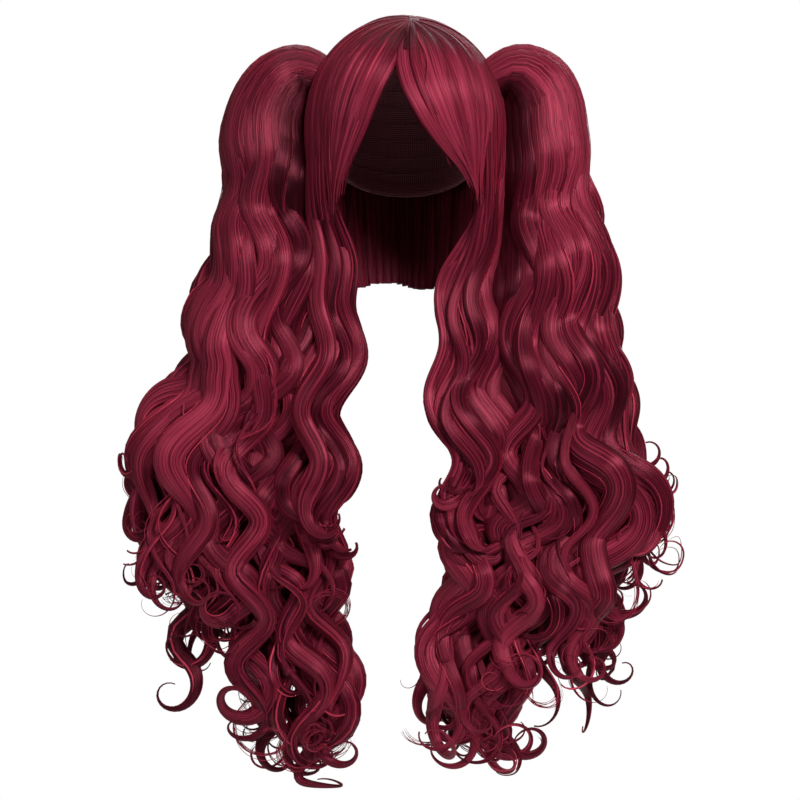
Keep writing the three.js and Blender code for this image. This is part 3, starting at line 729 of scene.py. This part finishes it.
def side_lines(side, rng, count, low, high, tone):
    """Temple locks of which most run on into the long side locks."""
    sign = SIGNS[side]
    lines = []
    for i in range(count):
        share = (i + 0.3 * rng.uniform(-1, 1)) / (count - 1)
        turn = sign * mix(TEMPLE_TURN, BACK_TURN, np.clip(share, 0, 1))
        route = through(SIDE_ROUTES[side][0 if share < 0.55 else 1], np.linspace(0, 1, ROUTE_ROWS))
        end = SIDE_LOCK_DROP * route[-1, 0] * rng.uniform(0.9, 1.08)
        drops = drops_to(SIDE_DROP)
        drops = np.concatenate([drops[:-1], np.linspace(SIDE_DROP, end, SIDE_STEPS)])
        below = depth_of(rng, low, high, CROWN_STEPS + len(drops))
        line = combed_line(np.full(len(drops), turn), drops, below, tone, rng.random())
        points = line["points"]
        fallen = np.concatenate([np.zeros(CROWN_STEPS), drops])
        down = fallen / SIDE_LOCK_DROP
        aside = sign * np.interp(down, route[:, 0], route[:, 1]) * HEAD_WIDTH / 2
        fore = -np.interp(down, route[:, 0], route[:, 2]) * HEAD_DEPTH / 2
        free = smoothstep(fallen, 0.11, 0.25)
        lane = (rng.uniform(-SIDE_LANE, SIDE_LANE), rng.uniform(-SIDE_LANE_DEPTH, SIDE_LANE_DEPTH))
        turns_round = fallen / SIDE_PITCH * 2 * math.pi
        phase = sign * (turns_round + 1.6 * i / count + rng.uniform(-0.6, 0.6))
        wave = SIDE_WAVE * smoothstep(fallen, 0.16, 0.36) * rng.uniform(0.8, 1.3)
        points[:, 0] = mix(points[:, 0], aside + lane[0], free) + wave * np.cos(phase)
        swell = turns_round * sign + 0.8 * lane[0] / SIDE_LANE
        points[:, 1] = mix(points[:, 1], fore + lane[1], free) + wave * 0.5 * np.sin(swell)
        outward = np.stack([sign * 0.5 * np.ones(len(points)), -np.ones(len(points)),
                            np.zeros(len(points))], 1)
        facing = mix(line["facing"], unit(outward), free[:, None])
        hand = -math.copysign(1, math.cos(phase[-1]))
        drift = np.array([0, -0.2, -0.15])
        points, facing = wound_end(points, facing, hand, rng.uniform(*SIDE_CURL),
                                   rng.uniform(0.25, 0.65), drift)
        free = np.concatenate([free, np.ones(END_STEPS)])
        grown = np.concatenate([line["girth"], np.ones(END_STEPS)])
        last = len(points)
        taper = mix(1.0, 0.14, smoothstep(np.arange(last), last - SIDE_TAPER_STEPS, last))
        girth = mix(grown, rng.uniform(1.2, 1.7), free) * taper
        tones = tone + rng.uniform(-0.1, 0.1)
        lines.append(guide(points, facing, girth, tones, line["number"][0]))
    return lines


sides = {}
for side in ("left", "right"):
    sides[side] = side_lines(side, rng, SIDE_LOCKS[0], *SURFACE, 0.52)
    # The lower locks are painted darker than the outer ones, as painted shade.
    sides[side] += side_lines(side, rng, SIDE_LOCKS[1], *UNDER, 0.32)


def head_piece(name, lines, corners=8):
    """Locks of the head, which are all of one size and combed alike."""
    return hair_piece(name, lines, fibre, HEAD_LOCK_WIDTH, HEAD_LOCK_THICKNESS, corners,
                      rib_depth=HEAD_RIB_DEPTH, ribs=2.5, seed=1)


head_lines = [line for lines in (*fringe.values(), *sides.values(), back) for line in lines]
crown_lines = [stretch_of(line, 0, CROWN_STEPS + 1) for line in head_lines]
for _ in range(CROWN_FILLERS):
    turn = np.full(COMBED_STEPS, rng.uniform(0, 2 * math.pi))
    below = np.full(CROWN_STEPS + COMBED_STEPS, FILLER_DEPTH)
    line = combed_line(turn, drops_to(SIDE_DROP), below, rng.uniform(0.3, 0.6), rng.random(),
                       rng.uniform(0.25, 0.4), rng.uniform(0.0, 0.6))
    crown_lines.append(stretch_of(line, 0, CROWN_STEPS + 1))
crown = head_piece("crown_locks", crown_lines)
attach(crown, "root")
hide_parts("crown_hair")

for side in ("left", "right"):
    for name, node, lines in (("fringe_locks_", "fringe_", fringe),
                              ("side_locks_", "side_lock_", sides)):
        lower = [stretch_of(line, CROWN_STEPS, None) for line in lines[side]]
        piece = head_piece(name + side, lower)
        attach(piece, "root")
        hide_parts(node + side)
lower = [stretch_of(line, CROWN_STEPS, None) for line in back]
piece = head_piece("back_locks", lower, corners=6)
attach(piece, "root")
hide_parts("back_hair")

# Clips: moulded plastic claws that hold the tails. They lie inside the tails' roots, so each
# keeps its solid and gets only its finish.


def moulded_plastic():
    """Injection-moulded plastic, black, with a fine matt grain."""
    material, tree, shader = new_finish("moulded black plastic")
    place = add_node(tree, "ShaderNodeTexCoord")
    grain = add_node(tree, "ShaderNodeTexNoise", {},
                     {"Vector": place.outputs["Object"], "Scale": 900.0, "Detail": 2.0})
    bump = add_node(tree, "ShaderNodeBump", {}, {"Height": grain.outputs["Fac"], "Distance": 0.0001})
    tree.links.new(bump.outputs["Normal"], shader.inputs["Normal"])
    shader.inputs["Base Color"].default_value = linear("#140d0f")
    shader.inputs["Roughness"].default_value = 0.38
    return material


plastic = moulded_plastic()
for side in ("left", "right"):
    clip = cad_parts["clip_" + side]
    clip.data.materials.clear()
    clip.data.materials.append(plastic)

# Scalp patch: a small piece of soft, skin-coloured sheet at the whorl, into which the first hairs
# are knotted. It shows greyish between them.


def soft_skin():
    """Thin skin-coloured sheet, matt, with faint mottling and the dark knots of the hair."""
    material, tree, shader = new_finish("soft skin-coloured sheet")
    place = add_node(tree, "ShaderNodeTexCoord")
    knots = add_node(tree, "ShaderNodeTexVoronoi", {},
                     {"Vector": place.outputs["Object"], "Scale": 620.0})
    ramp = add_node(tree, "ShaderNodeValToRGB", {}, {"Fac": knots.outputs["Distance"]})
    ramp.color_ramp.elements[0].position = 0.12
    ramp.color_ramp.elements[0].color = linear("#4d1a24")
    ramp.color_ramp.elements[1].position = 0.35
    ramp.color_ramp.elements[1].color = linear("#86696e")
    tree.links.new(ramp.outputs["Color"], shader.inputs["Base Color"])
    shader.inputs["Roughness"].default_value = 0.75
    return material


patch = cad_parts["scalp_patch"]
patch.data.materials.clear()
patch.data.materials.append(soft_skin())

# Pigtails: full tails of long locks, gathered under each clip. They fall nearly straight at the
# top, wave further down and end in wide ringlets that the maker winds hot on a rod.
TAIL_SPREAD = 0.284
TAIL_DROP = 0.727

# Sections from root to end: drop, out, fore, half width and half depth, as shares
TAIL_SECTIONS = {
    "left": (
        (0.068, 0.25, -0.02, 0.06, 0.075), (0.052, 0.345, -0.02, 0.075, 0.09),
        (0.066, 0.412, -0.015, 0.098, 0.115), (0.1, 0.462, -0.01, 0.115, 0.13),
        (0.15, 0.489, 0.0, 0.136, 0.15), (0.21, 0.478, 0.01, 0.16, 0.165),
        (0.285, 0.462, 0.02, 0.178, 0.18), (0.365, 0.51, 0.03, 0.225, 0.195),
        (0.445, 0.5, 0.04, 0.21, 0.2), (0.485, 0.54, 0.045, 0.25, 0.208),
        (0.53, 0.58, 0.05, 0.3, 0.215), (0.615, 0.605, 0.06, 0.342, 0.225),
        (0.695, 0.6, 0.07, 0.38, 0.225), (0.768, 0.53, 0.08, 0.35, 0.21),
        (0.834, 0.435, 0.08, 0.275, 0.185), (0.9, 0.36, 0.08, 0.215, 0.15),
        (0.955, 0.37, 0.08, 0.15, 0.11), (1.0, 0.42, 0.08, 0.07, 0.06),
    ),
    "right": (
        (0.07, 0.27, -0.02, 0.06, 0.075), (0.052, 0.372, -0.02, 0.075, 0.09),
        (0.068, 0.44, -0.015, 0.1, 0.115), (0.102, 0.482, -0.01, 0.113, 0.13),
        (0.15, 0.486, 0.0, 0.13, 0.15), (0.21, 0.499, 0.01, 0.15, 0.165),
        (0.285, 0.509, 0.02, 0.165, 0.18), (0.365, 0.5, 0.03, 0.22, 0.195),
        (0.445, 0.516, 0.04, 0.222, 0.2), (0.53, 0.52, 0.05, 0.255, 0.215),
        (0.615, 0.565, 0.06, 0.35, 0.225), (0.685, 0.548, 0.07, 0.4, 0.225),
        (0.76, 0.43, 0.08, 0.345, 0.21), (0.825, 0.35, 0.08, 0.33, 0.185),
        (0.89, 0.25, 0.08, 0.26, 0.15), (0.95, 0.225, 0.08, 0.16, 0.11),
        (1.0, 0.26, 0.08, 0.08, 0.06),
    ),
}

# Rows in a tail's centre line, rows over which its bends are evened out, and points in each lock
COURSE_ROWS = 600
CALM_ROWS = 111
LOCK_ROWS = 500
TAIL_STEPS = 140
THIN_STEPS = 100
CORE_STEPS = 70

# Rings of main locks: share of the way out, number of locks, their tone and their points; the inner
# ring is painted darker as painted shade. Thin locks part from these, low ones fill the hem, and core
# ones are dark locks put in the middle as painted shade.
TAIL_RINGS = ((1.0, 30, 0.56, TAIL_STEPS), (0.76, 17, 0.36, THIN_STEPS))
THIN_LOCKS = 62
LOW_LOCKS = 14
CORE_LOCKS = 9
CORE_RING = 0.42
PARTING_STEPS = 20
PARTING_DEPTH = 0.009

# Painted shade: how much darker the hair is painted in the crevice beside the head and at the root.
# Painted light and shade: how its tone changes at three drops of the tail on either side.
CREVICE_SHADE = 0.6
ROOT_SHADE = 0.7
PAINTED_LIGHT_DROPS = (0.16, 0.36, 0.52)
TAIL_PAINTED_LIGHT = {-1: (-0.16, 0.04, -0.06), 1: (0.08, -0.26, 0.04)}

# Distances out from the middle of the head between which a tail reaches its full length
LOW_PARTS = {"left": (0.06, 0.152), "right": (0.05, 0.112)}

# How low a tail hangs: distance out from the middle of the head, drop of the lowest curl there
TAIL_HEMS = {
    "left": ((0.03, 0.69), (0.06, 0.72), (0.137, 0.715), (0.15, 0.68), (0.158, 0.65),
             (0.182, 0.61), (0.212, 0.59), (0.239, 0.565), (0.263, 0.545), (0.28, 0.51)),
    "right": ((0.0, 0.67), (0.03, 0.70), (0.07, 0.72), (0.103, 0.68), (0.132, 0.665),
              (0.155, 0.64), (0.192, 0.62), (0.215, 0.595), (0.237, 0.54), (0.265, 0.51)),
}

# Farthest places out and down, and the distance over which a lock is eased back inside them
TAIL_LIMITS = {-1: 0.286, 1: 0.274}
TAIL_FLOOR = 0.712
EASE = 0.02
HEM_SPARE = 0.032

# Size of the main locks, and how far they lie from the clip and from the head
TAIL_LOCK_WIDTH = 0.021
TAIL_LOCK_THICKNESS = 0.013
TAIL_RIB_DEPTH = 0.0012
THIN_RIB_DEPTH = 0.001
PLUMB_SHARE = 0.66
LEAST_HALF = 0.004
ROOT_SUNK = 0.006
ROOT_SPARE = 0.003
HEAD_SPARE = 0.012

# Waves at the top, curls below, the swell that neighbours share, and the long weave in which
# locks sink between the others and come out again, painted darker as painted shade while they are sunk
WAVE_REACH = 0.010
CURL_REACH = 0.015
WAVE_PITCH = 0.125
CURL_PITCH = 0.098
SWELL_PITCH = 0.105
WEAVE = 0.34
WEAVE_PITCH = 0.42
WEAVE_SHADE = 0.9

# Wound ends: radius of the first turn, length that thins to the tip, and how many times closer
# together their points lie
END_RADIUS = 0.021
TIP_TAPER = 0.16
END_WEIGHT = 3.0


def tail_course(side):
    """Centre line of a tail by share of its length, with its outward and front directions."""
    sign = SIGNS[side]
    rows = through(TAIL_SECTIONS[side], np.linspace(0, 1, COURSE_ROWS))
    centre = np.stack([sign * rows[:, 1] * TAIL_SPREAD, -rows[:, 2] * TAIL_SPREAD,
                       -rows[:, 0] * TAIL_DROP], 1)
    steps = np.linalg.norm(np.diff(centre, axis=0), axis=1)
    length = np.concatenate([[0], np.cumsum(steps)])
    along = unit(np.gradient(centre, axis=0))
    calm = evened(along, CALM_ROWS)
    along = unit(mix(along, calm, smoothstep(length / length[-1], 0.15, 0.3)[:, None]))
    front = np.array([0.0, -1.0, 0.0]) - along * (-along[:, 1])[:, None]
    front = unit(front)
    outward = unit(np.cross(front, along)) * sign
    columns_of = np.concatenate([centre, front, outward, rows[:, 3:5] * TAIL_SPREAD], 1)
    return length / length[-1], columns_of, length[-1], sign


def plumb_place(course):
    """Place aside and half width of a tail at the level from which its locks hang plumb."""
    shares_of, columns_of = course[:2]
    return [np.interp(PLUMB_SHARE, shares_of, columns_of[:, i]) for i in (0, 9)]


def tail_line(course, rng, angle, ring, end, size, phase_start, tone, count=TAIL_STEPS):
    """Guide line of one lock: straight, then waved, then wound up at its end."""
    shares_of, columns_of, length, sign = course
    share = np.linspace(rng.uniform(0.0, 0.01), end, LOCK_ROWS)
    values = np.stack([np.interp(share, shares_of, column) for column in columns_of.T], 1)
    centre, front, outward = values[:, 0:3], unit(values[:, 3:6]), unit(values[:, 6:9])
    at_root = 1 - smoothstep(share, 0.04, 0.15)
    centre[:, 2] -= ROOT_SUNK * at_root
    by_head = smoothstep(share, 0.02, 0.08) * (1 - smoothstep(share, 0.38, 0.5))
    inward = max(-math.cos(angle), 0)
    spare = HEAD_SPARE * mix(1.0, 0.5, smoothstep(math.sin(angle), -0.2, 0.5))
    wide = values[:, 9] + ROOT_SPARE * at_root + spare * by_head * inward
    deep = values[:, 10] + ROOT_SPARE * at_root
    reach = WAVE_REACH * smoothstep(share, 0.1, 0.26)
    reach = mix(reach, CURL_REACH * size, smoothstep(share, 0.32, 0.62))
    pitch = mix(WAVE_PITCH, CURL_PITCH * size ** 0.5, smoothstep(share, 0.3, 0.7))
    steps = 2 * math.pi * np.diff(share) * length / pitch[1:]
    turned = np.concatenate([[0], np.cumsum(steps)])
    stray = 1.1 * rng.normal() * smoothstep(share, 0.25, 0.7)
    phase = phase_start + sign * (turned + stray)
    margin = reach * 0.75 + TAIL_LOCK_THICKNESS * 0.42
    sunk = 0.5 + 0.5 * np.sin(2 * math.pi * share * length / WEAVE_PITCH + rng.uniform(0, RANDOM_PHASE))
    sunk = WEAVE * sunk * smoothstep(share, 0.38, 0.6) * mix(1.0, 0.3, abs(math.cos(angle)) ** 3)
    ring = ring * (1 - sunk)
    out = math.cos(angle) * np.maximum(wide - margin, LEAST_HALF) * ring
    ahead = math.sin(angle) * np.maximum(deep - margin, LEAST_HALF) * ring
    base = centre + outward * out[:, None]
    base = base + front * ahead[:, None]
    plumb_x, plumb_wide = plumb_place(course)
    hold_x = plumb_x + sign * math.cos(angle) * (plumb_wide - margin) * ring
    held = np.clip(1.0 + ring * math.cos(angle), 0, 1)
    base[:, 0] = mix(base[:, 0], hold_x, held * smoothstep(share, 0.62, 0.8))
    away = unit(outward * math.cos(angle) + front * math.sin(angle))
    near = math.copysign(1, math.sin(angle) + 0.25)
    twist = near * math.pi / 2 - 0.4 * near * math.cos(angle) + rng.normal() * 0.3
    loose = np.array([sign * math.cos(twist), -math.sin(twist), 0.0])
    facing = unit(mix(away, loose, smoothstep(share, 0.14, 0.36)[:, None]))
    beside = unit(np.cross(facing, np.gradient(base, axis=0)))
    points = base + beside * (reach * np.cos(phase))[:, None]
    swell = 2 * math.pi * share * length / SWELL_PITCH + 1.6 * math.cos(angle)
    points = points + facing * (0.5 * reach * np.sin(swell))[:, None]
    hand = -math.copysign(1, math.cos(phase[-1]))
    radius = END_RADIUS * size * rng.uniform(0.75, 1.25)
    drift = facing[-1] * 0.22 + np.array([0, 0, -0.12])
    points, facing = wound_end(points, facing, hand, radius, rng.uniform(0.35, 1.0), drift)
    beyond = np.maximum(sign * points[:, 0] - TAIL_LIMITS[sign] + EASE, 0)
    points[:, 0] -= sign * beyond ** 2 / (beyond + EASE)
    beneath = np.maximum(-points[:, 2] - TAIL_FLOOR, 0)
    points[:, 2] += beneath ** 2 / (beneath + EASE)
    weight = np.full(len(points) - 1, END_WEIGHT)
    weight[:len(share) - 1] = mix(0.4, 1.0, smoothstep(share, 0.15, 0.4))[1:]
    moved = np.linalg.norm(np.diff(points, axis=0), axis=1)
    run = np.concatenate([[0], np.cumsum(moved)])
    spent = np.concatenate([[0], np.cumsum(moved * weight)])
    at = np.interp(np.linspace(0, spent[-1], count), spent, run)
    points = np.stack([np.interp(at, run, points[:, i]) for i in range(3)], 1)
    facing = np.stack([np.interp(at, run, facing[:, i]) for i in range(3)], 1)
    girth = mix(0.8, 1.15, smoothstep(at, 0.0, 0.08))
    girth = mix(girth, rng.uniform(0.85, 1.5), smoothstep(at, 0.12, 0.4))
    girth = girth * (1 + 0.08 * np.sin(at * rng.uniform(25, 60) + rng.uniform(0, RANDOM_PHASE)))
    girth = girth * mix(1.0, 0.06, smoothstep(at, run[-1] - TIP_TAPER, run[-1]))
    even = mix(0.5, 1.0, smoothstep(at, 0.1, 0.35))
    fallen = -points[:, 2]
    # Painted light and shade: lighter or darker by height and side of the tail, where more or less
    # light falls
    painted_light = np.interp(fallen, PAINTED_LIGHT_DROPS, TAIL_PAINTED_LIGHT[sign])
    tones = 0.5 + (tone - 0.5) * even + painted_light
    # Painted shade: darker in the crevice beside the head and near the root
    tones = tones - CREVICE_SHADE * inward ** 1.5 * (1 - smoothstep(at, 0.18, 0.36))
    tones = tones - ROOT_SHADE * inward * (1 - smoothstep(at, 0.05, 0.16))
    # Painted shade: darker where the lock is sunk between the others
    tones = tones + 0.06 - WEAVE_SHADE * np.interp(at, run[:len(share)], sunk)
    return guide(points, facing, girth, tones, rng.random())


def tail_end(side, course, rng, aside):
    """Share of the tail's length at which a lock ends: the outer ones end higher."""
    shares_of, columns_of, _, sign = course
    plumb_x, plumb_wide = plumb_place(course)
    reached, lowest = np.array(TAIL_HEMS[side]).T
    low = np.interp(sign * plumb_x + plumb_wide * aside, reached, lowest) - HEM_SPARE
    if rng.random() < 0.3:
        low = rng.uniform(0.43, max(low, 0.44))
    low -= rng.uniform(0, 0.05)
    return np.interp(low, -columns_of[:, 2], shares_of)


def tail_lines(side, rng):
    """The main locks of a tail, ring by ring."""
    course = tail_course(side)
    lines = []
    for ring, count, tone, steps in TAIL_RINGS:
        for i in range(count):
            angle = 2 * math.pi * (i + rng.uniform(-0.3, 0.3)) / count
            phase = 0.8 * math.cos(angle) + rng.normal() * 0.3
            spot = ring * rng.uniform(0.98, 1.03)
            end = tail_end(side, course, rng, ring * math.cos(angle))
            shade = tone + rng.uniform(-0.15, 0.15)
            lines.append(tail_line(course, rng, angle, spot, end, rng.uniform(0.8, 1.2), phase,
                                   shade, steps))
    return lines


def parted(line, angle, sign):
    """A lock that comes out thin from between the others and thickens on its way."""
    shown = smoothstep(np.arange(len(line["girth"])), 0, PARTING_STEPS)
    inward = np.array([-sign * math.cos(angle), math.sin(angle), 0.0])
    line["girth"] = line["girth"] * mix(0.05, 1.0, shown)
    line["points"] = line["points"] + inward * PARTING_DEPTH * (1 - shown)[:, None]
    return line


def thin_lines(side, rng, count):
    """Thinner locks that part from the main ones and fill between them further down."""
    course = tail_course(side)
    lines = []
    for i in range(count):
        angle = rng.uniform(0, 2 * math.pi)
        spot = rng.uniform(0.8, 1.06)
        end = tail_end(side, course, rng, spot * math.cos(angle))
        phase = 0.8 * math.cos(angle) + rng.normal() * 0.8
        line = tail_line(course, rng, angle, spot, end, rng.uniform(0.6, 1.1), phase,
                         0.55 + rng.uniform(-0.15, 0.2), THIN_STEPS)
        line["girth"] *= rng.uniform(0.12, 0.42)
        lines.append(parted(stretch_of(line, rng.integers(15, 50), None), angle, course[3]))
    return lines


def core_lines(side, rng, count):
    """Locks in the middle of a tail, painted dark only as painted shade in the gaps between the others.
    """
    course = tail_course(side)
    lines = []
    for i in range(count):
        angle = 2 * math.pi * i / count
        lines.append(tail_line(course, rng, angle, CORE_RING, rng.uniform(0.75, 0.88),
                               rng.uniform(0.8, 1.1), 0.0, 0.15, CORE_STEPS))
    return lines


def low_place(side, course, rng):
    """Angle, ring and end of a lock that reaches the lowest part of the tail."""
    plumb_x, plumb_wide = plumb_place(course)
    nearest, farthest = LOW_PARTS[side]
    out = 0
    while not nearest < out < farthest:
        angle = rng.uniform(0, 2 * math.pi)
        spot = rng.uniform(0.4, 1.0)
        out = abs(plumb_x) + plumb_wide * spot * math.cos(angle)
    end = np.interp(TAIL_DROP - rng.uniform(0.04, 0.08), -course[1][:, 2], course[0])
    return angle, spot, end


def low_lines(side, rng, count):
    """Full locks of the lowest part of a tail, from inside its middle down to its hem."""
    course = tail_course(side)
    lines = []
    for _ in range(count):
        angle, spot, end = low_place(side, course, rng)
        line = tail_line(course, rng, angle, spot, end, rng.uniform(0.8, 1.2),
                         rng.uniform(0, 2 * math.pi), 0.5 + rng.uniform(-0.15, 0.15), THIN_STEPS)
        line["girth"] *= rng.uniform(0.6, 0.95)
        lines.append(parted(stretch_of(line, rng.integers(42, 52), None), angle, course[3]))
    return lines


tails = {}
for side, seed in (("left", 5), ("right", 9)):
    tails[side] = tail_lines(side, np.random.default_rng(seed))
    piece = hair_piece("pigtail_locks_" + side, tails[side], fibre, TAIL_LOCK_WIDTH,
                       TAIL_LOCK_THICKNESS, 12, rib_depth=TAIL_RIB_DEPTH, ribs=3.6, seed=3)
    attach(piece, "root")
    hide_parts("pigtail_" + side)

thin_tails = {}
for side, seed in (("left", 15), ("right", 16)):
    rng = np.random.default_rng(seed)
    thin_tails[side] = thin_lines(side, rng, THIN_LOCKS)
    thin_tails[side] += low_lines(side, rng, LOW_LOCKS)
    thin_tails[side] += core_lines(side, rng, CORE_LOCKS)
    piece = hair_piece("pigtail_thin_locks_" + side, thin_tails[side], fibre, TAIL_LOCK_WIDTH,
                       TAIL_LOCK_THICKNESS, 8, rib_depth=THIN_RIB_DEPTH, ribs=2.0, seed=4)
    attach(piece, "root")

# Loose strands: single filaments and thin bands of them, which lie over the locks and stray
# near the tips. They are the same fibre, painted a shade lighter as painted light where they stand in
# the light.
STRAND_WIDTH = 0.0006
STRAND_THICKNESS = 0.00035
TAIL_STRANDS = 250
TAIL_STRAND_STEPS = 34
HEAD_STRANDS = 150
HEAD_STRAND_STEPS = 24
WISPS = 13
WISP_STRANDS = 8
WISP_STEPS = 84
WISP_SPREAD = 0.0022


def wisps(side, rng, count, strands):
    """Loose curled bundles of strands round the lower half of a tail."""
    course = tail_course(side)
    lines = []
    for _ in range(count):
        angle = rng.uniform(0, 2 * math.pi)
        spot = rng.uniform(0.7, 1.08)
        end = tail_end(side, course, rng, spot * math.cos(angle))
        if rng.random() < 0.5:
            angle, spot, end = low_place(side, course, rng)
        line = tail_line(course, rng, angle, spot, end, rng.uniform(0.8, 1.2),
                         rng.uniform(0, 2 * math.pi), 0.5, WISP_STEPS)
        line = stretch_of(line, WISP_STEPS // 2, None)
        share = np.linspace(0, 1, len(line["points"]))[:, None]
        loose = WISP_SPREAD * (0.4 + share)
        for _ in range(strands):
            start, finish = rng.normal(size=3), rng.normal(size=3)
            points = line["points"] + loose * mix(start, finish, share)
            girth = np.minimum(1, 0.3 + 3 * (1 - share[:, 0])) * rng.uniform(0.9, 1.5)
            lines.append(guide(points, line["facing"], girth, rng.uniform(0.3, 0.8), rng.random()))
    return lines


for side, seed in (("left", 21), ("right", 22)):
    rng = np.random.default_rng(seed)
    strands = strands_over(tails[side] + thin_tails[side], TAIL_STRANDS, rng, TAIL_STRAND_STEPS,
                           TAIL_LOCK_WIDTH, TAIL_LOCK_THICKNESS, lift=0.0003, stray=0.003,
                           tone=0.36, widest=4.5)
    strands += wisps(side, rng, WISPS, WISP_STRANDS)
    piece = hair_piece("pigtail_strands_" + side, strands, lit_loose_fibre, STRAND_WIDTH,
                       STRAND_THICKNESS, 4)
    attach(piece, "root")
rng = np.random.default_rng(31)
strands = strands_over(head_lines, HEAD_STRANDS, rng, HEAD_STRAND_STEPS, HEAD_LOCK_WIDTH,
                       HEAD_LOCK_THICKNESS, lift=0.0002, stray=0.002, tone=0.35, widest=3.0)
piece = hair_piece("head_strands", strands, lit_loose_fibre, STRAND_WIDTH, STRAND_THICKNESS, 4)
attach(piece, "root")

# Studio: a pale floor well below the wig, white surroundings and four large soft lamps, the
# strongest from the front, a little right of the camera.
FLOOR_LEVEL = -0.90
FLOOR_RADIUS = 0.70
FLOOR_CORNERS = 64
LAMP_AIM = (0.0, 0.0, -0.3)
SHADOW_LIGHT = 0.12

# Lamps: place, size across in metres and power in watts
LAMPS = (
    ("key", (1.0, -2.0, 1.0), 0.8, 66.0),
    ("fill", (-1.5, -1.9, 0.4), 1.2, 14.0),
    ("top", (0.0, 0.1, 1.9), 1.2, 6.0),
    ("back", (0.4, 2.3, 0.8), 1.6, 26.0),
)


def matt_paper():
    """Seamless studio paper, pale and matt."""
    material, _, shader = new_finish("matt white studio paper")
    shader.inputs["Base Color"].default_value = linear("#ebebeb")
    shader.inputs["Roughness"].default_value = 0.9
    return material


rim = [(FLOOR_RADIUS * math.cos(a), FLOOR_RADIUS * math.sin(a), FLOOR_LEVEL)
       for a in np.linspace(0, 2 * math.pi, FLOOR_CORNERS, endpoint=False)]
floor = mesh_piece("floor", rim, [tuple(range(FLOOR_CORNERS))], matt_paper(), smooth=False)

for name, place, size, power in LAMPS:
    lamp = bpy.data.lights.new(name, "AREA")
    lamp.size = size
    lamp.energy = power
    holder = bpy.data.objects.new(name, lamp)
    holder.location = place
    aim = np.array(LAMP_AIM) - np.array(place)
    holder.rotation_euler = (math.atan2(math.hypot(aim[0], aim[1]), -aim[2]), 0,
                             math.atan2(-aim[0], aim[1]))
    bpy.context.scene.collection.objects.link(holder)

world = bpy.data.worlds.new("white studio")
world.use_nodes = True
bpy.context.scene.world = world
sky = world.node_tree
seen = add_node(sky, "ShaderNodeLightPath")
strength = add_node(sky, "ShaderNodeMapRange", {},
                    {"Value": seen.outputs["Is Camera Ray"], "To Min": SHADOW_LIGHT, "To Max": 1.0})
background = sky.nodes["Background"]
background.inputs["Color"].default_value = (1, 1, 1, 1)
sky.links.new(strength.outputs["Result"], background.inputs["Strength"])
bpy.context.scene.view_settings.view_transform = "Standard"
